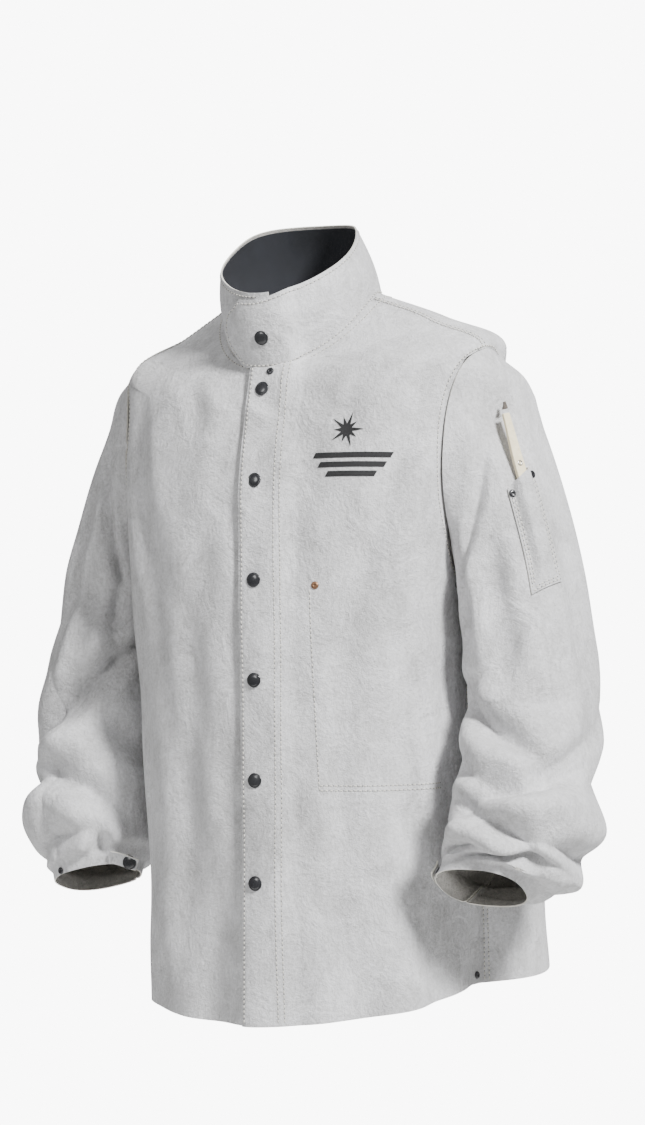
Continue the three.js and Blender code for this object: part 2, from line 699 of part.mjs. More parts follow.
function buildSleevePocket() {
  const half = pocketHalfAngle();
  const across = [0, pocketMargin, pocketFlat, 1 - pocketFlat, 1 - pocketMargin, 1];
  const rows = [0, 0.18, 0.6, 1].map((t) => lerp(pocketBottomRow, pocketTopRow, t));
  return panel('sleeve_pocket', 5, 3, (s, t) => {
    const u = pickRow(across, s);
    const psi = lerp(pocketPsi + half, pocketPsi - half, u);
    const seat = seatOnSleeve(leftUpper, lastUpperRow, psi, pickRow(rows, t), false);
    const inMiddle = u > pocketMargin + 0.01 && u < 1 - pocketMargin - 0.01;
    const room = inMiddle ? SLEEVE_POCKET_ROOM * smooth(t * 3) : 0;
    return { ...seat, lift: 0.6 + room };
  }, suede);
}

function buildSleevePocketRivet(name, side) {
  const psi = pocketPsi + side * pocketHalfAngle() * 0.76;
  const seat = seatOnSleeve(leftUpper, lastUpperRow, psi, pocketTopRow + 0.12, false);
  return rivet(name, seat, 0.6 + LEATHER + FASTENER_GAP);
}

function markerFrame() {
  const up = leftUpper(pocketPsi, pocketTopRow - 0.5);
  up.sub(leftUpper(pocketPsi, pocketTopRow + 0.5)).normalize();
  const seat = seatOnSleeve(leftUpper, lastUpperRow, pocketPsi, pocketTopRow, false);
  const out = seat.normal.addScaledVector(up, -seat.normal.dot(up)).normalize();
  return { up, out, across: new THREE.Vector3().crossVectors(up, out), point: seat.point };
}

// A flat stick, thin at its tip, standing in the sleeve pocket.
function buildMarker() {
  const { up, out, across, point } = markerFrame();
  const geometry = new THREE.BoxGeometry(MARKER_WIDTH, MARKER_LENGTH, MARKER_THICKNESS, 1, 4, 1);
  const p = geometry.attributes.position;
  const widths = [1, 1, 1, 0.8, 0.35];
  for (let i = 0; i < p.count; i += 1) {
    const t = p.getY(i) / MARKER_LENGTH + 0.5;
    const wide = pickRow(widths, t);
    const x = p.getX(i) * wide + MARKER_WIDTH * 0.5 * (1 - wide);
    const y = p.getY(i) + MARKER_SHOWING - MARKER_LENGTH / 2;
    const z = p.getZ(i) * lerp(1, 0.6, Math.max(0, 2 * t - 1)) + MARKER_LIFT;
    const q = point.clone().addScaledVector(across, x).addScaledVector(up, y);
    q.addScaledVector(out, z);
    p.setXYZ(i, q.x, q.y, q.z);
  }
  const mesh = new THREE.Mesh(faceOutward(geometry), soapstone);
  mesh.name = 'soapstone_marker';
  return mesh;
}

// ---- assembly ----
function group(name, children) {
  const g = new THREE.Group();
  g.name = name;
  g.add(...children);
  return g;
}

function buildShell(snaps, collarSnap) {
  const left = frontLimit(0) - 1.7;
  const rivetRow = rowAt(left, SIDE_RIVET_Z);
  const seatPocket = (phi) => seatOnBody(phi, rowAt(phi, INSIDE_POCKET_TOP_Z + 4));
  const outside = LEATHER + FASTENER_GAP;
  return group('shell', [
    buildBackPanel(),
    buildLeftFrontPanel(),
    buildRightFrontPanel(),
    buildRightFacing(),
    buildCollar('collar_outer', 0, suede),
    buildCollar('collar_lining', -LAYER_GAP - LEATHER, liningCloth),
    buildInsidePocket(),
    ...snaps.map((snap) => snap.stud),
    collarSnap.stud,
    rivet('pocket_rivet_front', seatPocket(insidePocketFrom + 2), outside, bronze),
    rivet('pocket_rivet_side', seatPocket(insidePocketTo - 2), outside),
    rivet('side_seam_rivet_left', seatOnBody(left, rivetRow), outside + 2),
    rivet('side_seam_rivet_right', seatOnBody(-left, rivetRow), outside),
  ]);
}

function buildFlap(snaps, collarSnap) {
  const cornerRow = rowAt(0, NECK_RIVET_Z);
  const corner = seatOnBody(frontX(7 - LAP_BEYOND_SNAPS, cornerRow), cornerRow);
  return group('front_flap', [
    buildLeftFlap(),
    buildLeftFacing(),
    buildCollarFlap(),
    buildCollarFlapLining(),
    ...snaps.map((snap) => snap.cap),
    ...snaps.map((snap) => snap.socket),
    collarSnap.cap,
    collarSnap.socket,
    rivet('neck_rivet', corner, FLAP_LIFT + LEATHER + FASTENER_GAP),
  ]);
}

function buildUpper(side, surface, seams, mirror, extras) {
  const halves = buildSleeveHalves(side, 'upper', surface, upperRows, seams, mirror);
  return group(`${side}_upper_sleeve`, [...halves, ...extras]);
}

function buildLower(side, surface, seams, mirror, tab) {
  const halves = buildSleeveHalves(side, 'lower', surface, lowerRows, seams, mirror);
  const seat = seatOnSleeve(surface, lastLowerRow, seams[1] - 7, 4.75, mirror);
  const seamRivet = rivet(`${side}_cuff_rivet`, seat, FASTENER_GAP);
  return group(`${side}_lower_sleeve`, [...halves, seamRivet, tab.stud]);
}

function hingeLine(surface, hinge, mirror) {
  const ends = [4.0, 4.9].map((k) => {
    const seat = seatOnSleeve(surface, lastLowerRow, hinge, k, mirror);
    return seat.point.addScaledVector(seat.normal, 3.6 + LEATHER + 0.6);
  });
  return { pivot: ends[0], axis: ends[1].clone().sub(ends[0]).normalize() };
}

const snaps = SNAP_Z.map((z, i) => buildSnap(
  seatOnSnapLine(z), `snap_cap_${i + 1}`, `snap_socket_${i + 1}`, `snap_stud_${i + 1}`,
));
const collarSnap = buildSnap(
  seatOnCollar(SNAP_LINE_TOP_X, collarRows[2]),
  'collar_snap_cap', 'collar_snap_socket', 'collar_snap_stud', 1.4,
);
const leftTab = buildCuffTab('left', leftLower, LEFT_TAB_HINGE, false);
const rightTab = buildCuffTab('right', rightLower, RIGHT_TAB_HINGE, true);
const rightHinge = hingeLine(rightLower, RIGHT_TAB_HINGE, true);
[rightTab.strap, rightTab.cap].forEach((mesh) => {
  turnAbout(mesh, rightHinge.pivot, rightHinge.axis, RIGHT_TAB_OPEN);
});

const jacket = group('leather_welding_jacket', [
  buildShell(snaps, collarSnap),
  buildFlap(snaps, collarSnap),
  buildUpper('left', leftUpper, LEFT_SEAMS, false, [
    buildSleevePocket(),
    buildSleevePocketRivet('sleeve_pocket_rivet_front', 1),
    buildSleevePocketRivet('sleeve_pocket_rivet_back', -1),
  ]),
  group('marker', [buildMarker()]),
  buildLower('left', leftLower, LEFT_SEAMS, false, leftTab),
  group('left_cuff_tab_body', [leftTab.strap, leftTab.cap]),
  buildUpper('right', rightUpper, RIGHT_SEAMS, true, []),
  buildLower('right', rightLower, RIGHT_SEAMS, true, rightTab),
  group('right_cuff_tab_body', [rightTab.strap, rightTab.cap]),
]);

export default jacket;
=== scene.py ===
# %% [markdown]
# A split-leather welding jacket, filled out as it hangs on a wearer who isn't shown. The leather is
# a thick, matt, slightly hairy hide, so the jacket is a set of stiff curved panels with soft folds
# where the arms bend. Every panel here starts as a flat bmesh grid, is laid on a smooth body or
# sleeve surface, and gets its thickness from Solidify, the way a maker cuts flat hides and sews them
# into a round shape. +X is the wearer's left, -Y the front, +Z up, in metres.

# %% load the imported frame
import math

import bmesh
import bpy
import numpy as np
from mathutils import Matrix, Vector


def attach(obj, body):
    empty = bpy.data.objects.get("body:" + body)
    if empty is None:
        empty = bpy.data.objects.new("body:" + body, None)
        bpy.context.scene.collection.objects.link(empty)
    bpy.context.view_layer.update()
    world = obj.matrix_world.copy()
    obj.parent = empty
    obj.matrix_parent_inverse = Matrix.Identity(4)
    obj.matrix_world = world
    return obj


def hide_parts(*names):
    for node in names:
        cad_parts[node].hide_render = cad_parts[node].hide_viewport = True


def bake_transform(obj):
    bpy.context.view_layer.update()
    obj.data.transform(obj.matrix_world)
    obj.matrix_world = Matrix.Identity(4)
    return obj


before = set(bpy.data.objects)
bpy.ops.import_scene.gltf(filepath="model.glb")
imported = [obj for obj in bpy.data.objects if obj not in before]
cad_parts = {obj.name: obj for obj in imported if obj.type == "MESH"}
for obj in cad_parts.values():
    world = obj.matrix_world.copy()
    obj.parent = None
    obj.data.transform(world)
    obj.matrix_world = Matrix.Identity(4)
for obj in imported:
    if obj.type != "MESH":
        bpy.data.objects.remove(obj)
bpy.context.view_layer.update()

# %% [markdown]
# Driving sizes of the jacket, the same as the solid model's, in metres. Rows run from the hem, 0,
# to the neck seam, 7; row 3 is the underarm and row 5 the shoulder tip.

# %% driving sizes
FRONT_LENGTH = 0.762
CHEST_WIDTH = 0.360
SHOULDER_WIDTH = 0.408
SHOULDER_SWAY = 0.011
RIGHT_SHOULDER_DROP = 0.016
NECK_WIDTH = 0.164
CHEST_FRONT_REACH = 0.142
CHEST_BACK_REACH = 0.120
UNDERARM_DEPTH = 0.310
SHOULDER_DROP = 0.066
HEM_SWAY = 0.018
HEM_FLARE = 0.082
FLARE_AT = 130
FLARE_SPREAD = 40
FLARE_START_ROW = 1.7
COLLAR_RISE = 0.076
COLLAR_TOP_WIDTH = 0.142
LEATHER = 0.0016
FLAP_LIFT = 0.0067
FACING_LIFT = 0.0042
SNAP_LINE_TOP_X = 0.004
SNAP_LINE_SLOPE = 0.03
LAP = 0.017
UNDERLAP = 0.018
FOLD = 0.040
NECK_RIVET_Z = -0.097
SNAP_Z = [-0.114, -0.208, -0.309, -0.411, -0.513, -0.617]
SLEEVE_WIDTH = 0.127
SLEEVE_DEPTH = 0.156
CUFF_WIDTH = 0.092
CUFF_DEPTH = 0.088
ELBOW_DEPTH = 0.439
SLEEVE_CLEARANCE = 0.003
ELBOW_CLEARANCE = 0.014
ARMHOLE_HALF_ANGLE = 20
LEFT_WRIST = (0.241, -0.105, -0.617)
RIGHT_WRIST = (0.229, -0.050, -0.634)
SIDE_SEAM = 95
SHOULDER_SEAM = 80
RAD = math.pi / 180


def through(values, t):
    """A smooth curve through evenly spaced values, which never overshoots them."""
    v = np.asarray(values, float)
    last = len(v) - 1
    t = np.asarray(t, float)
    i = np.clip(np.floor(t).astype(int), 0, last - 1)
    f = np.clip(t - i, 0, 1)
    step = np.diff(v)
    before, after = step[:-1], step[1:]
    same = before * after > 0
    gentle = np.where(same, 2 * before * after / np.where(same, before + after, 1), 0)
    slope = np.concatenate([[step[0]], gentle, [step[-1]]])
    rise = step[i]
    bend = (slope[i] - rise) * f * (1 - f) ** 2 + (rise - slope[i + 1]) * f * f * (1 - f)
    return v[i] + rise * f + bend


def smooth(t):
    c = np.clip(t, 0, 1)
    return c * c * (3 - 2 * c)


def hill(x, centre, width):
    """1 at centre, easing to 0 a few widths away."""
    return np.exp(-(((x - centre) / width) ** 2))


def lerp(a, b, t):
    return a + (b - a) * t


# %% [markdown]
# The body is a stack of rings, from the hem up to the neck. Each ring is a superellipse, squarer at
# the shoulders than at the hem, whose front, side and back stand at their own heights, so that the
# shoulders slope and the hem dips. The left side of the hem swings out at the back.

# %% the body surface
def body_z(fraction):
    return -UNDERARM_DEPTH - (FRONT_LENGTH - UNDERARM_DEPTH) * fraction


half = CHEST_WIDTH / 2
drop = RIGHT_SHOULDER_DROP
RING_HALF = [0.967 * half, 0.956 * half, 0.956 * half, half, 1.055 * half,
             SHOULDER_WIDTH / 2, SHOULDER_WIDTH * 0.355, NECK_WIDTH / 2]
RING_CENTRE = [HEM_SWAY, 0.67 * HEM_SWAY, 0.17 * HEM_SWAY, -0.2 * HEM_SWAY,
               0.3 * SHOULDER_SWAY, SHOULDER_SWAY, 0.6 * SHOULDER_SWAY, 0]
RING_FRONT = [k * CHEST_FRONT_REACH for k in (1.11, 1.07, 1.03, 1, 0.97, 0.86, 0.79, 0.725)]
RING_BACK = [k * CHEST_BACK_REACH for k in (1.25, 1.16, 1.06, 1, 0.98, 0.875, 0.71, 0.54)]
RING_FRONT_Z = [body_z(1), body_z(0.64), body_z(0.31), -UNDERARM_DEPTH, -0.23, -0.15, -0.115, -0.088]
RING_SIDE_Z = [body_z(0.945), body_z(0.64), body_z(0.31), -UNDERARM_DEPTH, -0.19,
               -SHOULDER_DROP - drop / 2, -SHOULDER_DROP / 2 - drop * 0.4, -0.008]
RING_BACK_Z = [body_z(0.9), body_z(0.62), body_z(0.31), -UNDERARM_DEPTH, -0.18, -0.07, -0.025, 0.012]
RING_TILT_Z = [0.006, 0.003, 0, 0, 0, 0.5 * drop, 0.4 * drop, 0]
RING_SQUARE = [2.4, 2.5, 2.6, 2.8, 3, 2.8, 2.4, 2]
NECK_ROW = 7


def hem_flare(phi, h):
    turn = np.abs(np.mod(phi, 360) - FLARE_AT) / FLARE_SPREAD
    return HEM_FLARE * smooth(1 - turn) * smooth(FLARE_START_ROW - h)


def body(phi, h):
    """Points of the jacket's body, phi degrees round from the front toward the wearer's left."""
    phi, h = np.broadcast_arrays(np.asarray(phi, float), np.asarray(h, float))
    s, c = np.sin(phi * RAD), np.cos(phi * RAD)
    n = through(RING_SQUARE, h)
    front = c > 0
    depth = np.where(front, through(RING_FRONT, h), through(RING_BACK, h))
    r = (np.abs(s) / through(RING_HALF, h)) ** n + (np.abs(c) / depth) ** n
    radius = r ** (-1 / n) + hem_flare(phi, h)
    side_z = through(RING_SIDE_Z, h)
    end_z = np.where(front, through(RING_FRONT_Z, h), through(RING_BACK_Z, h))
    slump = np.where(front, np.maximum(c, 0) ** 1.4, c * c)
    z = side_z + (end_z - side_z) * slump + through(RING_TILT_Z, h) * s
    return np.stack([through(RING_CENTRE, h) + radius * s, -radius * c, z], -1)


def normal_of(surface, a, b, low, high, step=0.02):
    """Outward normals of a surface of two values, by small steps inside its limits."""
    da = surface(a + step, b) - surface(a - step, b)
    db = surface(a, np.minimum(high, b + step)) - surface(a, np.maximum(low, b - step))
    n = np.cross(da, db)
    return n / np.maximum(np.linalg.norm(n, axis=-1, keepdims=True), 1e-12)


def body_normal(phi, h):
    return normal_of(body, phi, h, 0, NECK_ROW)


def front_angle(x, h):
    return np.arctan2(x - through(RING_CENTRE, h), through(RING_FRONT, h)) / RAD


def snap_line_x(h):
    return SNAP_LINE_TOP_X + SNAP_LINE_SLOPE * (SNAP_Z[0] - through(RING_FRONT_Z, h))


def front_x(distance, h):
    """Angle round the body, at row h, of a point that far to the left of the snap line."""
    return front_angle(snap_line_x(h) + distance, h)


def armhole_angle(h, side):
    s = np.clip(h - 4, -1, 1)
    middle = lerp(SIDE_SEAM, SHOULDER_SEAM, (s + 1) / 2)
    return middle + side * ARMHOLE_HALF_ANGLE * np.sqrt(1 - s * s)


def front_limit(h):
    return np.where(h < 3, SIDE_SEAM, armhole_angle(np.minimum(h, 5), -1))


def back_limit(h):
    return np.where(h < 3, SIDE_SEAM, armhole_angle(np.minimum(h, 5), 1))


def row_at(phi, z):
    """Row of the body whose height at this angle is z."""
    phi, z = np.broadcast_arrays(np.asarray(phi, float), np.asarray(z, float))
    low, high = np.zeros(phi.shape), np.full(phi.shape, float(NECK_ROW))
    for _ in range(26):
        middle = (low + high) / 2
        below = body(phi, middle)[..., 2] < z
        low, high = np.where(below, middle, low), np.where(below, high, middle)
    return low


# %% [markdown]
# Leather as stiff as this never hangs perfectly even. These soft waves are added to every body
# panel at once, so that neighbouring panels still meet: a ripple along the hem, long shallow
# hollows down the front and back, and a fold that runs down from the front of each armhole.

# %% how the leather hangs on the body
BODY_FOLDS = [
    # angle, row, lean, depth, width, reach
    (76, 2.2, 3.0, 0.0042, 6.0, 1.1), (60, 0.9, -4.0, 0.0040, 5.0, 1.2), (34, 1.5, 3.0, 0.0026, 5.0, 1.4),
    (-30, 1.4, 4.0, 0.0032, 6.0, 1.5), (-54, 1.3, -3.0, 0.0036, 6.0, 1.3), (-72, 2.3, 4.0, 0.0040, 6.0, 1.2),
    (38, 4.9, 6.0, 0.0030, 5.0, 0.7), (-36, 5.0, -6.0, 0.0030, 5.0, 0.7), (18, 3.2, 5.0, 0.0020, 5.0, 1.1),
]


def hang(phi, h):
    """How far the leather stands out from the plain body surface, in metres."""
    phi, h = np.broadcast_arrays(np.asarray(phi, float), np.asarray(h, float))
    turn = np.mod(phi + 180, 360) - 180
    low = smooth((3.2 - h) / 3.2)
    out = 0.0050 * low * np.sin(turn * RAD * 7.0 + 0.9) * smooth((1.6 - h) / 1.6 + 0.25)
    out += 0.0036 * low * np.sin(turn * RAD * 13.0 + 2.1) * smooth((0.9 - h) / 0.9)
    out += 0.0024 * np.sin(turn * RAD * 5.0 + h * 0.7) * smooth(h * 2) * smooth((6.4 - h) * 1.2)
    out += (0.0012 * np.sin(turn * RAD * 17.0 + h * 2.3) * np.sin(h * 3.1 + 1)
            * smooth(h) * smooth((6 - h) * 1.2))
    for side, depth in ((1, 1.0), (-1, 0.75)):
        at = side * (57 - 7.5 * (4.6 - h))
        reach = hill(h, 3.8, 1.2)
        out -= 0.0070 * depth * hill(turn, at, 5.0) * reach
        out += 0.0048 * depth * hill(turn, at + side * 9.0, 6.0) * reach
    for at, row, lean, depth, width, reach in BODY_FOLDS:
        away = turn - at - lean * (h - row)
        out += depth * (0.6 * hill(away, 1.8 * width, width) - hill(away, 0, width)) * hill(h, row, reach)
    back = np.abs(np.mod(phi, 360) - 180)
    out -= 0.0055 * hill(back, 0, 16) * hill(h, 4.6, 1.1)
    out += 0.0036 * hill(back, 34, 10) * hill(h, 4.3, 1.0)
    out -= 0.0050 * hill(back, 62 - 5 * h, 6) * hill(h, 2.6, 1.4)
    return out * smooth((NECK_ROW - h) * 2.5)


def dressed_body(phi, h, lift=0.0):
    p = body(phi, h)
    out = np.asarray(lift) + hang(phi, h)
    return p + body_normal(phi, h) * out[..., None]


# %% [markdown]
# One helper makes every sewn panel. `bmesh.ops.create_grid` gives a flat cut of leather, each of
# its points is moved to where the pattern puts it, and the Solidify modifier gives it the hide's
# thickness with the cut edge in a second material. The grid's own coordinates are kept as a UV map.

# %% panels
def object_from(bm, name, materials=()):
    mesh = bpy.data.meshes.new(name)
    bm.to_mesh(mesh)
    bm.free()
    piece = bpy.data.objects.new(name, mesh)
    bpy.context.scene.collection.objects.link(piece)
    for m in materials:
        mesh.materials.append(m)
    return piece


def shade_smooth(piece):
    for p in piece.data.polygons:
        p.use_smooth = True


def cut_panel(name, columns, rows, place, face_out=None):
    """A grid laid by place(u, v), which takes and gives arrays. face_out is a point inside."""
    bm = bmesh.new()
    uv = bm.loops.layers.uv.new("cut")
    bmesh.ops.create_grid(bm, x_segments=columns, y_segments=rows, size=0.5)
    bm.verts.index_update()
    flat = np.array([v.co[:] for v in bm.verts])
    u, v = flat[:, 0] + 0.5, flat[:, 1] + 0.5
    laid = place(u, v)
    for f in bm.faces:
        for loop in f.loops:
            i = loop.vert.index
            loop[uv].uv = (u[i], v[i])
    for vert, co in zip(bm.verts, laid):
        vert.co = co
    bm.normal_update()
    if face_out is not None:
        total = sum(f.normal.dot(f.calc_center_median() - Vector(face_out)) for f in bm.faces)
        if total < 0:
            bmesh.ops.reverse_faces(bm, faces=bm.faces)
    piece = object_from(bm, name)
    shade_smooth(piece)
    return piece


def give_thickness(piece, face, edge, thickness=LEATHER, inward=True, inside=None):
    piece.data.materials.append(face)
    piece.data.materials.append(edge)
    piece.data.materials.append(inside or edge)
    s = piece.modifiers.new("hide thickness", "SOLIDIFY")
    s.thickness = thickness
    s.offset = -1 if inward else 1
    s.use_even_offset = False
    s.material_offset = 2
    s.material_offset_rim = 1
    piece.modifiers.new("crisp cut edges", "EDGE_SPLIT").split_angle = math.radians(55)
    return piece


# %% [markdown]
# A sleeve is a tube from the armhole, row 0, past the elbow, row 5, to the cuff, row 10. Round the
# tube, 0 degrees faces outward, 90 forward and 180 toward the body. It is made with X measured
# outward from the body for both arms, and the right one is mirrored at the end.

# %% the sleeve surface
def sleeve_side(z, side):
    """How far out the inner side of the sleeve hangs at a height."""
    x = abs(float(body(90 * side, row_at(90 * side, z))[0]))
    down = max(0.0, (-z - UNDERARM_DEPTH) / (ELBOW_DEPTH - UNDERARM_DEPTH))
    return x + LEATHER + lerp(SLEEVE_CLEARANCE, ELBOW_CLEARANCE, down)


def upper_rings(side):
    tip = abs(float(body(SHOULDER_SEAM * side, 5)[0]))
    inner = sleeve_side(-ELBOW_DEPTH, side)
    outer = inner + SLEEVE_WIDTH
    places = [(tip + 0.025, 0.018, -0.112, -0.322), (lerp(tip, outer, 0.46), 0.020, -0.178, -0.340),
              (lerp(tip, outer, 0.68), 0.021, -0.258, -0.366),
              (lerp(tip, outer, 0.87), 0.018, -0.343, -0.399)]
    rings = [((x, y, z_out), (sleeve_side(z_in, side), y, z_in), SLEEVE_DEPTH / 2, 0.0)
             for x, y, z_out, z_in in places]
    elbow = ((outer, 0.015, -ELBOW_DEPTH), (inner, 0.015, -ELBOW_DEPTH), SLEEVE_DEPTH / 2, 0.0)
    return rings + [elbow]


def lower_rings(side, wrist, tilt, blouse, roll):
    inner = sleeve_side(-ELBOW_DEPTH, side)
    elbow = (inner + SLEEVE_WIDTH / 2, 0.015, -ELBOW_DEPTH)
    narrow = (CUFF_WIDTH / SLEEVE_WIDTH, CUFF_DEPTH / SLEEVE_DEPTH)
    shape = [(0, 1, 1, 0, 0), (0.3, 1.02, 0.97, 0.4, 0.5), (0.6, 1.05, 0.97, 0.8, 1),
             (0.84, 0.98, 0.86, 1, 0.9), (0.93, 0.77, 0.64, 1, 0.35), (1, *narrow, 1, 0)]
    rings = []
    for along, wide, deep, turn, out in shape:
        x, y, z = (lerp(a, b, along) for a, b in zip(elbow, wrist))
        x += blouse * out
        reach = SLEEVE_WIDTH / 2 * wide
        rings.append(((x + reach, y, z - blouse * 0.4 * out - roll * turn),
                      (x - reach, y, z + roll * turn), SLEEVE_DEPTH / 2 * deep, tilt * turn))
    return rings


def ring_point(rings, psi, k):
    outer = np.stack([through([r[0][i] for r in rings], k) for i in range(3)], -1)
    inner = np.stack([through([r[1][i] for r in rings], k) for i in range(3)], -1)
    depth = through([r[2] for r in rings], k)
    lean = through([r[3] for r in rings], k) * RAD
    c, s = np.cos(psi * RAD), np.sin(psi * RAD)
    across = (np.sign(c) * np.abs(c) ** 0.8)[..., None]
    forward = np.sign(s) * np.abs(s) ** 0.8 * depth
    p = (outer + inner) / 2 + (outer - inner) / 2 * across
    p[..., 1] -= forward * np.cos(lean)
    p[..., 2] += forward * np.sin(lean)
    return p


def armhole_point(psi, side):
    h = 4 + np.cos(psi * RAD)
    middle = lerp(SIDE_SEAM, SHOULDER_SEAM, (np.cos(psi * RAD) + 1) / 2)
    phi = side * (middle - ARMHOLE_HALF_ANGLE * np.sin(psi * RAD))
    p = dressed_body(phi, h, 0.0024)
    p[..., 0] *= side
    return p


ELBOW_ROW = 5
CUFF_ROW = 10


def plain_sleeve(side):
    upper = upper_rings(side)
    if side > 0:
        lower = lower_rings(1, LEFT_WRIST, 31, 0.022, 0)
    else:
        lower = lower_rings(-1, RIGHT_WRIST, 18, 0.002, 0.012)

    def place(psi, k):
        psi, k = np.broadcast_arrays(np.asarray(psi, float), np.asarray(k, float))
        head = armhole_point(psi, side)
        first = ring_point(upper, psi, np.zeros_like(k))
        t = np.clip(k, 0, 1)[..., None]
        near = head + (first - head) * t
        far = ring_point(upper, psi, np.maximum(k - 1, 0))
        fore = ring_point(lower, psi, np.maximum(k - ELBOW_ROW, 0))
        p = np.where((k < 1)[..., None], near, far)
        return np.where((k > ELBOW_ROW)[..., None], fore, p)
    return place


# %% [markdown]
# Leather creases where the arm bends and where a long sleeve is pushed up by the cuff. Each crease
# is a soft valley with a swelling on each side, placed by its angle round the sleeve, its row, its
# slant and its length.

# %% creases
def crease(psi, k, at, row, slant, reach, depth, width):
    turn = np.mod(psi - at + 180, 360) - 180
    away = (k - row - slant * turn / 90) / width
    along = np.exp(-((turn / reach) ** 2) ** 1.3)
    valley = 0.5 * np.exp(-away ** 2) + 0.5 * np.exp(-2.0 * np.sqrt(away ** 2 + 0.01))
    swell = np.exp(-((away - 1.8) / 1.2) ** 2) + 0.75 * np.exp(-((away + 1.8) / 1.2) ** 2)
    return depth * along * (0.6 * swell - valley)


def long_fold(psi, k, at, row, length, depth, width):
    """A fold that runs down the sleeve instead of round it."""
    turn = np.mod(psi - at + 180, 360) - 180
    return depth * np.exp(-((k - row) / length) ** 2) * (
        0.5 * hill(turn, 1.9 * width, width) + 0.4 * hill(turn, -1.9 * width, width) - hill(turn, 0, width))


CREASES = {
    # at, row, slant, reach, depth, width
    1: [(100, 5.50, -1.6, 44, 0.0170, 0.34), (34, 6.00, 1.2, 56, 0.0150, 0.36),
        (66, 6.75, 1.0, 62, 0.0210, 0.30),
        (-2, 7.60, 0.6, 46, 0.0190, 0.28), (88, 7.70, -1.1, 46, 0.0180, 0.30),
        (50, 8.60, 0.9, 60, 0.0170, 0.27),
        (128, 6.50, -1.0, 34, 0.0130, 0.28), (-30, 6.10, 0.8, 55, 0.0120, 0.34),
        (116, 8.60, 0.5, 32, 0.0100, 0.24),
        (95, 1.60, 1.2, 34, 0.0070, 0.32), (230, 4.60, -0.6, 60, 0.0130, 0.36),
        (250, 6.20, 0.6, 60, 0.0140, 0.38),
        (215, 7.40, -0.7, 60, 0.0130, 0.34), (100, 4.30, 1.2, 45, 0.0090, 0.34),
        (-60, 8.30, -0.4, 50, 0.0120, 0.30)],
    -1: [(104, 4.60, -1.9, 64, 0.0210, 0.32), (74, 5.60, -1.5, 52, 0.0130, 0.38),
         (36, 6.75, -0.7, 56, 0.0180, 0.30),
         (100, 6.90, 1.2, 44, 0.0150, 0.34), (62, 8.20, -0.6, 52, 0.0110, 0.32),
         (150, 5.90, 0.8, 40, 0.0130, 0.34),
         (90, 1.50, 1.1, 34, 0.0070, 0.32), (84, 3.40, -1.3, 50, 0.0090, 0.36),
         (-60, 5.80, 0.7, 60, 0.0120, 0.38),
         (230, 4.60, -0.6, 60, 0.0130, 0.36), (250, 7.00, 0.6, 60, 0.0130, 0.36),
         (215, 8.20, -0.5, 60, 0.0110, 0.32)],
}
LONG_FOLDS = {
    # at, row, length, depth, width
    1: [(122, 2.7, 1.3, 0.0095, 8), (88, 3.4, 1.1, 0.0065, 9), (-40, 3.0, 1.4, 0.0060, 11),
        (8, 3.9, 1.0, 0.0040, 9),
        (100, 8.8, 0.7, 0.0050, 9)],
    -1: [(120, 2.8, 1.3, 0.0095, 9), (66, 2.6, 1.4, 0.0065, 10), (-40, 3.0, 1.4, 0.0060, 11),
         (90, 4.0, 1.0, 0.0045, 8), (118, 8.5, 0.8, 0.0120, 10), (75, 7.6, 0.8, 0.0060, 11)],
}


MARKER_PSI = 41


def creased_sleeve(side):
    """The sleeve with its folds; the left one is hollowed a little where the marker slides up."""
    plain = plain_sleeve(side)

    def rounded(psi, k):
        """The plain sleeve with its kinks at the armhole ring and the elbow eased."""
        psi, k = np.broadcast_arrays(np.asarray(psi, float), np.asarray(k, float))
        step = 0.55 * smooth(1.6 - np.abs(k - ELBOW_ROW)) + 0.30 * smooth(1.9 - 2 * np.abs(k - 1))
        step = np.minimum(step, k)
        before, after = plain(psi, k - step), plain(psi, k + step)
        return 0.5 * plain(psi, k) + 0.25 * (before + after)

    def place(psi, k, lift=0.0):
        psi, k = np.broadcast_arrays(np.asarray(psi, float), np.asarray(k, float))
        ends = smooth(k * 1.2) * smooth((9.5 - k) * 1.6)
        folds = (sum(crease(psi, k, *c) for c in CREASES[side])
                 + sum(long_fold(psi, k, *f) for f in LONG_FOLDS[side]))
        beside_body = 1 - 0.8 * hill(np.mod(psi, 360), 182, 42)
        head = 0.0075 * hill(k, 0.7, 0.45) * np.maximum(np.cos(psi * RAD), 0) ** 0.7
        if side > 0:
            head = head - 0.0105 * hill(psi, MARKER_PSI, 17) * smooth(k * 2) * smooth(2.2 - k)
        out = folds * ends * beside_body + head + lift
        n = normal_of(rounded, psi, k, 0, CUFF_ROW)
        p = rounded(psi, k) + n * np.asarray(out)[..., None]
        return p * np.array([side, 1, 1])
    return place


left_sleeve = creased_sleeve(1)
right_sleeve = creased_sleeve(-1)


def sleeve_normal(side, psi, k):
    """Outward normals; the right sleeve is a mirror image, which turns them round."""
    place = left_sleeve if side > 0 else right_sleeve
    return normal_of(place, psi, k, 0, CUFF_ROW) * side


# %% [markdown]
# Split suede is a matt, hairy face. Its colour drifts in large soft clouds, with fine streaks where
# the nap lies one way or the other, and its light scatters at the grazing edge. One node group
# makes the clouds, streaks and hairs for every leather face, and puts out colour, roughness and
# height.

# %% the hide group
def new_group(name, inputs, outputs):
    tree = bpy.data.node_groups.new(name, "ShaderNodeTree")
    for label, kind, value in inputs:
        socket = tree.interface.new_socket(label, in_out="INPUT", socket_type=kind)
        socket.default_value = value
    for label, kind in outputs:
        tree.interface.new_socket(label, in_out="OUTPUT", socket_type=kind)
    return tree, tree.nodes.new("NodeGroupInput"), tree.nodes.new("NodeGroupOutput")


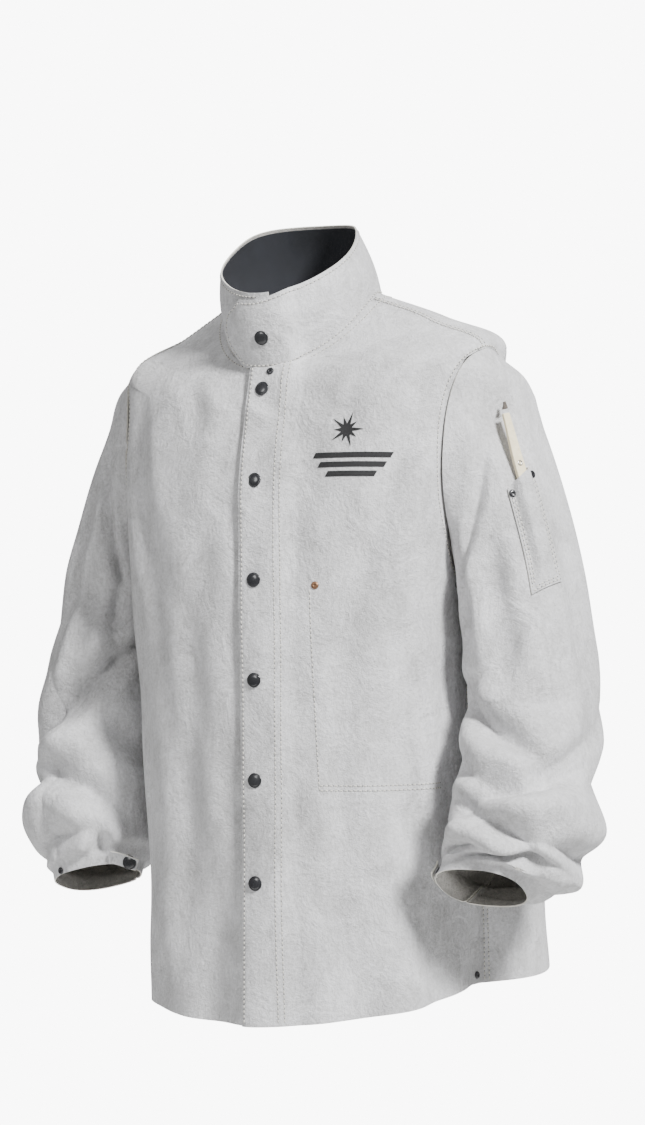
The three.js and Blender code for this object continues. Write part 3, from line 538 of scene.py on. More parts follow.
def noise(tree, vector, scale, detail, rough=0.55, distort=0.0):
    n = tree.nodes.new("ShaderNodeTexNoise")
    n.inputs["Scale"].default_value = scale
    n.inputs["Detail"].default_value = detail
    n.inputs["Roughness"].default_value = rough
    n.inputs["Distortion"].default_value = distort
    if vector is not None:
        tree.links.new(vector, n.inputs["Vector"])
    return n.outputs["Fac"]


def math_node(tree, operation, a, b):
    n = tree.nodes.new("ShaderNodeMath")
    n.operation = operation
    for socket, value in zip(n.inputs, (a, b)):
        if isinstance(value, (int, float)):
            socket.default_value = value
        else:
            tree.links.new(value, socket)
    return n.outputs[0]


def spread_range(tree, value, low, high, to_low, to_high):
    n = tree.nodes.new("ShaderNodeMapRange")
    for name, v in (("From Min", low), ("From Max", high), ("To Min", to_low), ("To Max", to_high)):
        n.inputs[name].default_value = v
    tree.links.new(value, n.inputs["Value"])
    return n.outputs["Result"]


def mix_colour(tree, factor, a, b):
    n = tree.nodes.new("ShaderNodeMix")
    n.data_type = "RGBA"
    sockets = {"Factor": n.inputs[0], "A": n.inputs[6], "B": n.inputs[7]}
    for key, value in (("Factor", factor), ("A", a), ("B", b)):
        if isinstance(value, (int, float, tuple)):
            sockets[key].default_value = value
        else:
            tree.links.new(value, sockets[key])
    return n.outputs[2]


def stretched(tree, vector, scale):
    n = tree.nodes.new("ShaderNodeMapping")
    n.inputs["Scale"].default_value = scale
    tree.links.new(vector, n.inputs["Vector"])
    return n.outputs["Vector"]


def build_hide_group():
    tree, inside, out = new_group("hide surface", [
        ("Light", "NodeSocketColor", (0.6, 0.6, 0.6, 1)), ("Dark", "NodeSocketColor", (0.5, 0.5, 0.5, 1)),
        ("Hair", "NodeSocketFloat", 1.0)],
        [("Color", "NodeSocketColor"), ("Roughness", "NodeSocketFloat"), ("Height", "NodeSocketFloat")])
    place = tree.nodes.new("ShaderNodeTexCoord").outputs["Object"]
    clouds = noise(tree, place, 6.0, 5.0, 0.62, 0.6)
    patches = noise(tree, place, 24.0, 5.0, 0.66, 0.9)
    wipes = noise(tree, stretched(tree, place, (1.0, 1.0, 0.32)), 62.0, 5.0, 0.66, 1.1)
    streaks = noise(tree, stretched(tree, place, (300, 300, 80)), 1.0, 3.0, 0.6, 0.8)
    hairs = noise(tree, place, 900.0, 3.0, 0.7)
    grain = noise(tree, place, 300.0, 4.0, 0.68, 0.4)
    drift = 0.06
    for field, low, high, share in ((clouds, 0.38, 0.62, 0.26), (patches, 0.37, 0.63, 0.22),
                                    (wipes, 0.36, 0.64, 0.18),
                                    (streaks, 0.34, 0.66, 0.12), (grain, 0.36, 0.64, 0.30)):
        drift = math_node(tree, "ADD", spread_range(tree, field, low, high, 0.0, share), drift)
    colour = mix_colour(tree, drift, inside.outputs["Dark"], inside.outputs["Light"])
    tree.links.new(colour, out.inputs["Color"])
    tree.links.new(spread_range(tree, patches, 0.3, 0.7, 0.86, 0.98), out.inputs["Roughness"])
    fibre = math_node(tree, "MULTIPLY", hairs, inside.outputs["Hair"])
    height = math_node(tree, "MULTIPLY", fibre, 0.35)
    for field, share in ((grain, 0.75), (wipes, 0.45), (patches, 2.0)):
        height = math_node(tree, "ADD", height, math_node(tree, "MULTIPLY", field, share))
    tree.links.new(height, out.inputs["Height"])
    return tree


HIDE = build_hide_group()


def new_material(name):
    m = bpy.data.materials.new(name)
    m.use_nodes = True
    shader = m.node_tree.nodes["Principled BSDF"]
    return m, m.node_tree, shader


def bump_into(tree, shader, height, distance, strength):
    b = tree.nodes.new("ShaderNodeBump")
    b.inputs["Distance"].default_value = distance
    b.inputs["Strength"].default_value = strength
    tree.links.new(height, b.inputs["Height"])
    tree.links.new(b.outputs["Normal"], shader.inputs["Normal"])


def hide_material(name, light, dark, hair, bump, sheen=0.25):
    m, tree, shader = new_material(name)
    g = tree.nodes.new("ShaderNodeGroup")
    g.node_tree = HIDE
    g.inputs["Light"].default_value = (*light, 1)
    g.inputs["Dark"].default_value = (*dark, 1)
    g.inputs["Hair"].default_value = hair
    tree.links.new(g.outputs["Color"], shader.inputs["Base Color"])
    tree.links.new(g.outputs["Roughness"], shader.inputs["Roughness"])
    shader.inputs["Specular IOR Level"].default_value = 0.15
    shader.inputs["Sheen Weight"].default_value = sheen
    shader.inputs["Sheen Roughness"].default_value = 0.6
    bump_into(tree, shader, g.outputs["Height"], bump, 0.9)
    return m


suede = hide_material("suede", (0.76, 0.76, 0.775), (0.30, 0.296, 0.292), 1.0, 0.0024)
suede_inside = hide_material("suede inner face", (0.58, 0.56, 0.52), (0.28, 0.27, 0.25), 1.6, 0.0024)
cut_edge = hide_material("cut edge of the hide", (0.80, 0.78, 0.71), (0.46, 0.44, 0.39), 1.3, 0.0008)


# %% [markdown]
# The collar is lined with a plain dark cotton. Its weave is two sets of fine bands at right angles,
# which follow the cloth by its UV map.

# %% cloth, thread, metal and chalk
def cloth_material():
    m, tree, shader = new_material("dark collar cloth")
    uv = tree.nodes.new("ShaderNodeUVMap")
    uv.uv_map = "cut"
    heights = []
    for axis, count in (("X", 420.0), ("Y", 90.0)):
        w = tree.nodes.new("ShaderNodeTexWave")
        w.bands_direction = axis
        w.inputs["Scale"].default_value = count
        tree.links.new(uv.outputs["UV"], w.inputs["Vector"])
        heights.append(w.outputs["Fac"])
    weave = math_node(tree, "MULTIPLY", heights[0], heights[1])
    place = tree.nodes.new("ShaderNodeTexCoord").outputs["Object"]
    fade = noise(tree, place, 60.0, 3.0)
    shade = math_node(tree, "ADD", math_node(tree, "MULTIPLY", weave, 0.4),
                      math_node(tree, "MULTIPLY", fade, 0.6))
    colour = mix_colour(tree, shade, (0.010, 0.011, 0.014, 1), (0.035, 0.038, 0.048, 1))
    tree.links.new(colour, shader.inputs["Base Color"])
    tree.links.new(spread_range(tree, fade, 0.3, 0.7, 0.8, 0.95), shader.inputs["Roughness"])
    bump_into(tree, shader, weave, 0.0003, 0.5)
    return m


def speckled_material(name, light, dark, scale, rough, bump, metallic=0.0, coat=0.0):
    """Paint, metal, thread or chalk: a small drift of colour, scuffs in the gloss, fine relief."""
    m, tree, shader = new_material(name)
    place = tree.nodes.new("ShaderNodeTexCoord").outputs["Object"]
    fine = noise(tree, place, scale, 4.0, 0.6)
    broad = noise(tree, place, scale * 0.12, 3.0, 0.6)
    drift = math_node(tree, "ADD", math_node(tree, "MULTIPLY", fine, 0.5),
                      math_node(tree, "MULTIPLY", broad, 0.5))
    colour = mix_colour(tree, spread_range(tree, drift, 0.32, 0.68, 0, 1), (*dark, 1), (*light, 1))
    tree.links.new(colour, shader.inputs["Base Color"])
    tree.links.new(spread_range(tree, broad, 0.3, 0.7, rough[0], rough[1]), shader.inputs["Roughness"])
    shader.inputs["Metallic"].default_value = metallic
    shader.inputs["Coat Weight"].default_value = coat
    bump_into(tree, shader, fine, bump, 0.4)
    return m


lining_cloth = cloth_material()
thread = speckled_material("off-white thread", (0.74, 0.72, 0.66), (0.52, 0.50, 0.45), 1500, (0.7, 0.9),
                           0.0001)
# A near-black material, painted shade for the holes the needle made between stitches.
needle_hole_shade = speckled_material("painted needle hole shade", (0.16, 0.155, 0.15), (0.07, 0.07, 0.068), 900, (0.8, 0.95),
                                0.0001)
black_enamel = speckled_material("black enamel", (0.022, 0.023, 0.026), (0.008, 0.008, 0.010), 700,
                                 (0.18, 0.34), 0.00004, 0.0, 0.4)
nickel = speckled_material("nickel", (0.62, 0.60, 0.57), (0.36, 0.35, 0.33), 900, (0.22, 0.42), 0.00004, 1.0)
bronze = speckled_material("dark bronze", (0.34, 0.20, 0.12), (0.14, 0.075, 0.045), 900, (0.3, 0.5),
                           0.00005, 0.9)
soapstone = speckled_material("soapstone", (0.86, 0.78, 0.56), (0.66, 0.56, 0.36), 240, (0.6, 0.85), 0.0002)
print_ink = speckled_material("black print", (0.020, 0.020, 0.021), (0.006, 0.006, 0.007), 420, (0.7, 0.95),
                              0.0005)

# %% [markdown]
# The left front swings open about a line just past its lap. Here each piece that crosses that line,
# and each sleeve piece, only has its placement baked into its mesh, and stands_for hides the parts
# of the solid model that a piece replaces.


def across_front_fold(piece):
    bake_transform(piece)


def weigh_by_row(piece):
    """Bakes a sleeve piece's placement into its mesh. The armhole and the elbow are slanted loops
    round the sleeve."""
    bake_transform(piece)


def stands_for(piece, slot_name, *nodes):
    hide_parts(*nodes)


# %% [markdown]
# The back is cut in one panel from side seam to side seam. The two fronts are cut with the lap
# edge as their free edge; the left one is a single piece of leather that lifts over the snaps and
# runs down to the body beyond them.

# %% back and fronts
TOP = NECK_ROW
PANEL_ROWS = 210
BODY_INSIDE = (0.0, 0.0, -0.4)


def rows_up(v, top=TOP):
    return v * top


def under_sleeve(h):
    """Degrees by which a body panel runs on beneath the sleeve, beside the armhole."""
    return 1.6 * smooth((h - 3.02) / 0.25) * smooth((4.98 - h) / 0.25)


def seam_dip(distance, width=1.1):
    """Leather pinched down at a sewn seam; distance in degrees round the body."""
    return -0.0022 * np.exp(-(distance / width) ** 2)


def place_back(u, v):
    h = rows_up(v)
    start = back_limit(h) - under_sleeve(h)
    phi = lerp(start, 360 - start, u)
    edge = np.minimum(phi - start, 360 - start - phi) - under_sleeve(h)
    return dressed_body(phi, h, LEATHER + seam_dip(np.maximum(edge, 0)))


back = cut_panel("back_leather", 190, PANEL_ROWS, place_back, BODY_INSIDE)
give_thickness(back, suede, cut_edge, inside=suede_inside)
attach(back, "shell")
stands_for(back, "suede", "back_panel")


def flap_lift(distance):
    """Height of the lap's outer face, by distance from the snap line toward the fold."""
    return LEATHER + FLAP_LIFT * smooth((FOLD + 0.006 - distance) / 0.026)


def place_left_front(u, v):
    narrow = u < 0.3
    distance = lerp(-LAP, FOLD + 0.012, u / 0.3)
    h = rows_up(v, np.where(narrow, 6.86 + 0.14 * smooth((distance - FOLD + 0.012) / 0.020), TOP))
    phi_flap = front_x(distance, h)
    phi_join = front_x(FOLD + 0.012, h)
    limit = front_limit(h) + under_sleeve(h)
    phi = np.where(narrow, phi_flap, lerp(phi_join, limit, (u - 0.3) / 0.7))
    inside_seam = np.maximum(limit - under_sleeve(h) - phi, 0)
    lift = np.where(narrow, flap_lift(distance), LEATHER) + seam_dip(inside_seam)
    soft_edge = -0.0012 * smooth((0.006 - (distance + LAP)) / 0.006) * narrow
    return dressed_body(phi, h, lift + soft_edge)


left_front = cut_panel("left_front_leather", 150, PANEL_ROWS, place_left_front, BODY_INSIDE)
give_thickness(left_front, suede, cut_edge, inside=suede_inside)
across_front_fold(left_front)
stands_for(left_front, "suede", "left_front_panel", "left_front_flap")


def place_right_front(u, v):
    h = rows_up(v)
    edge = front_x(UNDERLAP, h)
    limit = -(front_limit(h) + under_sleeve(h))
    phi = lerp(edge, limit, u)
    return dressed_body(phi, h, LEATHER + seam_dip(np.maximum(phi - limit - under_sleeve(h), 0)))


right_front = cut_panel("right_front_leather", 110, PANEL_ROWS, place_right_front, BODY_INSIDE)
give_thickness(right_front, suede, cut_edge, inside=suede_inside)
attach(right_front, "shell")
stands_for(right_front, "suede", "right_front_panel")


def facing(name, low, high, lift, body_name, node, top=6.86):
    def place(u, v):
        h = 0.02 + rows_up(v, top - 0.02)
        return dressed_body(front_x(lerp(low, high, u), h), h, lift)
    piece = cut_panel(name, 14, PANEL_ROWS, place, BODY_INSIDE)
    give_thickness(piece, suede_inside, cut_edge, inside=suede_inside)
    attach(piece, body_name)
    stands_for(piece, "suede_inner_face", node)
    return piece


facing("left_facing_leather", -LAP + 0.001, 0.024, FACING_LIFT + LEATHER, "front_flap", "left_front_facing")
facing("right_facing_leather", -UNDERLAP, UNDERLAP - 0.001, -0.0025, "shell", "right_front_facing")
print("body panels:", len(back.data.polygons), len(left_front.data.polygons), len(right_front.data.polygons))


# %% [markdown]
# Each sleeve is cut in two panels, a wide outer one and a narrow under one, sewn along the front
# and the back of the arm. The upper and the lower sleeve are one length of leather on the real
# jacket; here they part at the elbow row, which both are cut to, so they meet there without a gap.

# %% sleeves
SLEEVE_SEAMS = {1: (-125, 150), -1: (-125, 72)}
SIDE_NAME = {1: "left", -1: "right"}
SLEEVE = {1: left_sleeve, -1: right_sleeve}


SEAM_PINCH = 0.0020            # a sewn seam draws the hide in by this much
SEAM_PINCH_HALF_WIDTH = 2.2    # degrees round the sleeve


def seam_pinch(psi, seams):
    out = 0
    for seam in seams:
        away = np.abs(np.mod(psi - seam + 180, 360) - 180)
        out = out - SEAM_PINCH * np.exp(-(away / SEAM_PINCH_HALF_WIDTH) ** 2)
    return out


def uv_rows(piece, low, high):
    """The row along the sleeve of each vertex, from the panel's own map."""
    rows = np.zeros(len(piece.data.vertices))
    layer = piece.data.uv_layers["cut"].data
    for loop in piece.data.loops:
        rows[loop.vertex_index] = lerp(low, high, layer[loop.index].uv[1])
    return rows


def blend_upper(piece, side, rows):
    weigh_by_row(piece)


def blend_lower(piece, side, rows):
    weigh_by_row(piece)


def sleeve_half(side, part, half_name, low, high, rows, columns, blend):
    seams = SLEEVE_SEAMS[side]
    start, stop = seams if half_name == "outer" else (seams[1], seams[0] + 360)
    name = SIDE_NAME[side]

    def place(u, v):
        psi = lerp(start, stop, u)
        return SLEEVE[side](psi, lerp(low, high, v), seam_pinch(psi, seams))
    piece = cut_panel(f"{name}_{part}_sleeve_{half_name}_leather", columns, rows, place)
    probe = SLEEVE[side](np.array([0.0, 180.0]), np.array([(low + high) / 2] * 2))
    turn_outward(piece, Vector(probe.mean(0)))
    blend(piece, side, uv_rows(piece, low, high))
    give_thickness(piece, suede, cut_edge, inside=suede_inside)
    stands_for(piece, "suede", f"{name}_{part}_sleeve_{half_name}")
    return piece


def turn_outward(piece, axis_point):
    """Sleeve panels face away from the middle of the tube."""
    total = sum(p.normal.dot(p.center - axis_point) for p in piece.data.polygons)
    if total < 0:
        piece.data.flip_normals()


for side in (1, -1):
    seams = SLEEVE_SEAMS[side]
    wide = round((seams[1] - seams[0]) / 3.6)
    narrow = round((360 - seams[1] + seams[0]) / 3.6)
    for half_name, columns in (("outer", wide), ("under", narrow)):
        sleeve_half(side, "upper", half_name, 0, ELBOW_ROW, 110, columns, blend_upper)
        sleeve_half(side, "lower", half_name, ELBOW_ROW, CUFF_ROW, 84, columns, blend_lower)
print("sleeves made")

# %% [markdown]
# The stand collar wraps the neck and leans forward. Its left end is free and laps over the right
# one, with a rounded corner. It is suede outside and dark cotton inside, and the raw edge of the
# suede shows along the top.

# %% collar surface
COLLAR_CENTRE_Y = -0.045
COLLAR_DEPTH = 0.075
neck_middle_y = (RING_BACK[NECK_ROW] - RING_FRONT[NECK_ROW]) / 2
neck_half_depth = (RING_BACK[NECK_ROW] + RING_FRONT[NECK_ROW]) / 2


def collar(phi, t):
    phi, t = np.broadcast_arrays(np.asarray(phi, float), np.asarray(t, float))
    row = np.full(phi.shape, float(NECK_ROW))
    base = body(phi, row)
    angle = np.arctan2(base[..., 0] / (NECK_WIDTH / 2), -(base[..., 1] - neck_middle_y) / neck_half_depth)
    c = np.cos(angle)
    dip = 0.030 * np.maximum(0, -c - 0.3) ** 2
    top = np.stack([COLLAR_TOP_WIDTH / 2 * np.sin(angle), COLLAR_CENTRE_Y - COLLAR_DEPTH * c,
                    RING_FRONT_Z[NECK_ROW] + COLLAR_RISE + 0.050 * (1 - c) - dip], -1)
    base = base.copy()
    base[..., 2] += 0.0004
    p = base + (top - base) * t[..., None]
    belly = 0.004 * np.sin(math.pi * t) + 0.0011 * np.sin(angle * 5 + 1) * t
    p[..., 0] += belly * np.sin(angle)
    p[..., 1] -= belly * c
    return p


def collar_point(phi, t, lift=0.0):
    n = normal_of(collar, phi, t, 0, 1)
    return collar(phi, t) + n * np.asarray(lift)[..., None]


def collar_angle(x):
    return front_angle(x, np.full(np.shape(x), float(NECK_ROW)))


COLLAR_FOLD_X = SNAP_LINE_TOP_X + FOLD
COLLAR_UNDER_X = SNAP_LINE_TOP_X + 0.009
COLLAR_END = [-0.0200, -0.0325, -0.0425, -0.0465, -0.0440, -0.0330, -0.0200]
COLLAR_SIDE = 78
COLLAR_INSIDE = (0, -0.03, -0.06)


def collar_lap_lift(x):
    return (FLAP_LIFT + 0.0014) * smooth((COLLAR_FOLD_X + 0.004 - x) / 0.024)


def lap_place(inset, lift_of):
    """The free left end, from its rounded end to the side of the neck."""
    def place(u, v):
        end = through(COLLAR_END, v * (len(COLLAR_END) - 1)) + inset
        front = u < 0.45
        x = lerp(end, COLLAR_FOLD_X, np.minimum(u / 0.45, 1))
        phi_front = front_angle(x, np.full(x.shape, float(NECK_ROW)))
        phi_fold = collar_angle(COLLAR_FOLD_X)
        phi = np.where(front, phi_front, lerp(phi_fold, COLLAR_SIDE, (u - 0.45) / 0.55))
        dip = 0.10 * smooth((COLLAR_FOLD_X - x) / 0.05) * front
        t = v * (1 - dip) * (1 - 0.012)
        return collar_point(phi, t, lift_of(np.where(front, x, COLLAR_FOLD_X + 0.01)))
    return place


def around_place(lift):
    def place(u, v):
        end = 360 + float(collar_angle(COLLAR_UNDER_X))
        phi = lerp(COLLAR_SIDE, end, u)
        return collar_point(phi, v * 0.988, np.full(u.shape, lift))
    return place


collar_lap = cut_panel("collar_lap_leather", 70, 34, lap_place(0.0, collar_lap_lift), COLLAR_INSIDE)
give_thickness(collar_lap, suede, cut_edge, inside=suede_inside)
across_front_fold(collar_lap)
stands_for(collar_lap, "suede", "collar_flap")

collar_back = cut_panel("collar_leather", 120, 34, around_place(0.0), COLLAR_INSIDE)
give_thickness(collar_back, suede, cut_edge, inside=suede_inside)
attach(collar_back, "shell")
stands_for(collar_back, "suede", "collar_outer")


def lined(place_maker, name, columns, blend, node):
    piece = cut_panel(name, columns, 30, place_maker, COLLAR_INSIDE)
    give_thickness(piece, lining_cloth, lining_cloth, 0.0007, inside=lining_cloth)
    blend(piece)
    stands_for(piece, "collar_lining_cloth", node)
    return piece


def lap_lining_lift(x):
    return collar_lap_lift(x) - LEATHER - 0.0003


def lining_place(maker):
    """The lining stops a little below the collar's raw top edge."""
    return lambda u, v: maker(u, 0.03 + v * 0.93)


lined(lining_place(lap_place(0.0025, lap_lining_lift)), "collar_lap_lining", 60, across_front_fold,
      "collar_flap_lining")
lined(lining_place(around_place(-LEATHER - 0.0003)), "collar_lining_cloth_piece", 110,
      lambda piece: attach(piece, "shell"), "collar_lining")
print("collar made")

# %% [markdown]
# Thread is modelled, because a row of stitches is what tells the eye that two hides are sewn. Each
# stitch is one small stretched icosphere lying along the seam, half sunk into the leather. Between
# two stitches a flat dark disc lies on the leather: it is painted shade for the hole the needle made.

# %% stitches
STITCH = 0.0034
STITCH_GAP = 0.0015


def walk(points, spacing):
    """Evenly spaced places and directions along a line of points, with each one's share of it."""
    points = np.asarray(points)
    steps = np.linalg.norm(np.diff(points, axis=0), axis=1)
    along = np.concatenate([[0], np.cumsum(steps)])
    count = max(2, int(along[-1] / spacing))
    at = (np.arange(count) + 0.5) * along[-1] / count
    spots = np.stack([np.interp(at, along, points[:, i]) for i in range(3)], 1)
    ahead = np.stack([np.interp(np.minimum(at + 0.001, along[-1]), along, points[:, i]) for i in range(3)], 1)
    behind = np.stack([np.interp(np.maximum(at - 0.001, 0), along, points[:, i]) for i in range(3)], 1)
    share = np.interp(at, along, np.linspace(0, 1, len(points)))
    return spots, ahead - behind, share


def add_stitches(bm, points, normals):
    """Stitches along one line, each followed by a flat dark disc of painted shade for the hole the needle
    made; gives back how many were made.
    """
    spots, ways, share = walk(points, STITCH + STITCH_GAP)
    normals = np.asarray(normals)
    picks = np.clip((share * (len(points) - 1)).round().astype(int), 0, len(points) - 1)
    for spot, way, pick in zip(spots, ways, picks):
        x = Vector(way).normalized()
        z = Vector(normals[pick]).normalized()
        y = z.cross(x).normalized()
        turn = Matrix((x, y, x.cross(y))).transposed().to_4x4()
        hole_shade_at = Vector(spot) + x * (STITCH + STITCH_GAP) / 2
        # The second, flat disc is painted shade where the needle went through the leather.
        for centre, half_size in ((Vector(spot), (STITCH / 2, 0.00075, 0.00058, 1)),
                                  (hole_shade_at, (0.00075, 0.00065, 0.00022, 1))):
            where = Matrix.Translation(centre) @ turn @ Matrix.Diagonal(half_size)
            bmesh.ops.create_icosphere(bm, subdivisions=1, radius=1.0, matrix=where)
    return 2 * len(spots)


def thread_piece(name, lines, finish):
    """lines is a list of (points, normals)."""
    bm = bmesh.new()
    made = sum(add_stitches(bm, *line) for line in lines)
    piece = object_from(bm, name, [thread, needle_hole_shade])
    shade_smooth(piece)
    faces_each = len(piece.data.polygons) // made
    for i, face in enumerate(piece.data.polygons):
        face.material_index = (i // faces_each) % 2
    finish(piece)
    print(name, made // 2, "stitches")
    return piece


def body_line(phi, h, lift=LEATHER):
    phi, h = np.broadcast_arrays(np.asarray(phi, float), np.asarray(h, float))
    p = dressed_body(phi, h, lift + 0.0002)
    return p, body_normal(phi, h)


def collar_line(phi, t, lift):
    phi, t = np.broadcast_arrays(np.asarray(phi, float), np.asarray(t, float))
    return collar_point(phi, t, lift + 0.0002), normal_of(collar, phi, t, 0, 1)


SEAM_STITCH_ROWS = (1.3, 2.9)          # degrees from a seam to each row of stitches beside it
LAP_STITCH_ROWS = (0.0215, 0.0275)     # from the snap line to the rows that hold the facing
EDGE_STITCH_INSET = 0.0035             # from the free edge of the lap to its row

rows_full = np.linspace(0.02, 6.85, 240)
shell_lines = []
for gap in SEAM_STITCH_ROWS:
    h = np.linspace(0.02, 2.95, 120)
    shell_lines.append(body_line(SIDE_SEAM + gap * 0.9, h))
    shell_lines.append(body_line(-(SIDE_SEAM + gap * 0.9), h))
    h = np.linspace(5.02, 6.97, 90)
    shell_lines.append(body_line(back_limit(h) + gap, h))
    shell_lines.append(body_line(-(back_limit(h) + gap), h))
turn = np.linspace(0, 2 * math.pi, 200)
for side in (1, -1):
    h = 4 + np.cos(turn)
    middle = lerp(SIDE_SEAM, SHOULDER_SEAM, (np.cos(turn) + 1) / 2)
    ring_phi = side * (middle - (ARMHOLE_HALF_ANGLE + 2.2) * np.sin(turn))
    shell_lines.append(body_line(ring_phi, np.clip(4 + (h - 4) * 1.05, 0, 7)))
neck_phi = np.linspace(collar_angle(COLLAR_FOLD_X) + 3, 352, 300)
shell_lines.append(body_line(neck_phi, 6.86))
POCKET_FROM, POCKET_TO = 27, 72
POCKET_TOP, POCKET_BOTTOM = -0.318, -0.522


def pocket_line(phi, z):
    phi, z = np.broadcast_arrays(np.asarray(phi, float), np.asarray(z, float))
    return body_line(phi, row_at(phi, z))


shell_lines.append(pocket_line(POCKET_FROM, np.linspace(POCKET_TOP, POCKET_BOTTOM, 60)))
for step in (0, 0.005):
    shell_lines.append(pocket_line(np.linspace(POCKET_FROM, POCKET_TO, 60), POCKET_BOTTOM + step))
thread_piece("body_stitching", shell_lines, lambda piece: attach(piece, "shell"))

front_lines = []
for distance in (*LAP_STITCH_ROWS, -LAP + EDGE_STITCH_INSET):
    front_lines.append(body_line(front_x(distance, rows_full), rows_full, flap_lift(distance)))
thread_piece("front_lap_stitching", front_lines, across_front_fold)


def lap_outline(inset, t):
    end = through(COLLAR_END, t * (len(COLLAR_END) - 1)) + inset
    phi = front_angle(end, np.full(t.shape, float(NECK_ROW)))
    return phi, t * (1 - 0.10 * smooth((COLLAR_FOLD_X - end) / 0.05)), end


tab_t = np.linspace(0.04, 0.94, 60)
phi, t, x = lap_outline(0.0045, tab_t)
collar_lap_lines = [collar_line(phi, t, collar_lap_lift(x))]
x = np.linspace(-0.018, COLLAR_FOLD_X, 60)
dip = 1 - 0.10 * smooth((COLLAR_FOLD_X - x) / 0.05)
for t in (0.93, 0.045):
    collar_lap_lines.append(collar_line(collar_angle(x), t * dip, collar_lap_lift(x)))
    phi = np.linspace(float(collar_angle(COLLAR_FOLD_X)), COLLAR_SIDE, 50)
    collar_lap_lines.append(collar_line(phi, t, 0))
thread_piece("collar_lap_stitching", collar_lap_lines, across_front_fold)
phi = np.linspace(COLLAR_SIDE, 358, 260)
thread_piece("collar_stitching", [collar_line(phi, 0.93, 0), collar_line(phi, 0.045, 0)],
             lambda piece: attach(piece, "shell"))

# %% [markdown]
# Snap caps, sockets, studs and rivets are all turned shapes, so each is a small profile spun round
# its axis. A cap has a rolled rim, a shallow groove and a low dome, which is what a pressed and
# enamelled steel cap looks like; a tubular rivet has a small hollow in its middle.

# %% turned fasteners
def turned(name, profile, steps=40):
    bm = bmesh.new()
    first = bmesh.ops.create_vert(bm, co=(profile[0][0], 0, profile[0][1]))["vert"][0]
    last = first
    for r, z in profile[1:]:
        last = bmesh.ops.extrude_vert_indiv(bm, verts=[last])["verts"][0]
        last.co = (r, 0, z)
    bmesh.ops.spin(bm, geom=bm.verts[:] + bm.edges[:], cent=(0, 0, 0), axis=(0, 0, 1),
                   angle=2 * math.pi, steps=steps, use_merge=True)
    bmesh.ops.remove_doubles(bm, verts=bm.verts, dist=1e-6)
    bmesh.ops.recalc_face_normals(bm, faces=bm.faces)
    return name, bm


def set_on(shape, point, normal, material, body, node, slot_name):
    """Stands a turned shape on a surface, with its axis along the normal, and gives it to a body."""
    name, bm = shape
    z = Vector(normal).normalized()
    x = z.cross(Vector((0, 0, 1))).normalized()
    turn = Matrix((x, z.cross(x), z)).transposed().to_4x4()
    bmesh.ops.transform(bm, matrix=Matrix.Translation(Vector(point)) @ turn, verts=bm.verts)
    piece = object_from(bm, name, [material])
    shade_smooth(piece)
    piece.modifiers.new("crisp rims", "EDGE_SPLIT").split_angle = math.radians(50)
    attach(piece, body)
    stands_for(piece, slot_name, node)
    return piece


MM = 0.001
CAP = [(r * MM, z * MM) for r, z in (
    (0, 0.1), (6.9, 0.1), (7.35, 0.25), (7.6, 0.65), (7.55, 1.05), (7.2, 1.35), (6.75, 1.42), (6.35, 1.30),
    (6.1, 1.34), (5.6, 1.62), (4.6, 1.98), (3.2, 2.26), (1.6, 2.38), (0, 2.42))]
RIVET = [(r * MM, z * MM) for r, z in (
    (0, 0), (3.7, 0), (4.0, 0.25), (3.95, 0.7), (3.4, 1.25), (2.5, 1.65), (1.7, 1.70), (1.25, 1.45),
    (1.05, 0.8), (0, 0.7))]
STUD = [(r * MM, z * MM) for r, z in (
    (0, 0), (4.6, 0), (4.8, 0.3), (4.4, 0.6), (2.9, 0.8), (2.6, 1.4), (3.0, 2.1), (2.7, 2.6),
    (1.4, 2.8), (0, 2.8))]
SOCKET = [(r * MM, z * MM) for r, z in (
    (3.6, 0), (4.9, 0), (5.2, 0.5), (4.9, 1.1), (4.2, 1.2), (3.7, 0.9), (3.6, 0))]


def at_body(phi, h, lift):
    p = dressed_body(float(phi), float(h), lift)
    return p, body_normal(float(phi), float(h))


def at_collar(phi, t, lift):
    return collar_point(float(phi), float(t), lift), normal_of(collar, float(phi), float(t), 0, 1)


def at_sleeve(side, psi, k, lift):
    return SLEEVE[side](float(psi), float(k), lift), sleeve_normal(side, float(psi), float(k))


def row_on_snap_line(z):
    rows = np.linspace(0, 6.9, 1400)
    heights = body(front_x(0, rows), rows)[:, 2]
    return float(np.interp(z, heights, rows))


def snap(seat, number, cap_lift):
    """seat(lift) gives a place and a normal. The stud stays on the right front, under the lap."""
    cap = "collar_snap_cap" if number is None else f"snap_cap_{number}"
    socket = "collar_snap_socket" if number is None else f"snap_socket_{number}"
    stud = "collar_snap_stud" if number is None else f"snap_stud_{number}"
    set_on(turned(cap + "_enamel", CAP), *seat(cap_lift), black_enamel, "front_flap", cap, "black_enamel")
    set_on(turned(socket + "_ring", SOCKET, 28), *seat(FACING_LIFT - 0.0013), nickel, "front_flap", socket,
           "nickel_snap_part")
    set_on(turned(stud + "_post", STUD, 28), *seat(LEATHER + 0.0001), nickel, "shell", stud,
           "nickel_snap_part")


for i, z in enumerate(SNAP_Z):
    h = row_on_snap_line(z)
    snap(lambda lift, h=h: at_body(front_x(0, h), h, lift), i + 1, FLAP_LIFT + LEATHER + 0.0001)
snap(lambda lift: at_collar(collar_angle(SNAP_LINE_TOP_X), 0.4, lift), None, FLAP_LIFT + 0.0015)


def rivet(name, seat, material, body_name, slot_name="black_enamel"):
    set_on(turned(name + "_head", RIVET, 28), *seat, material, body_name, name, slot_name)


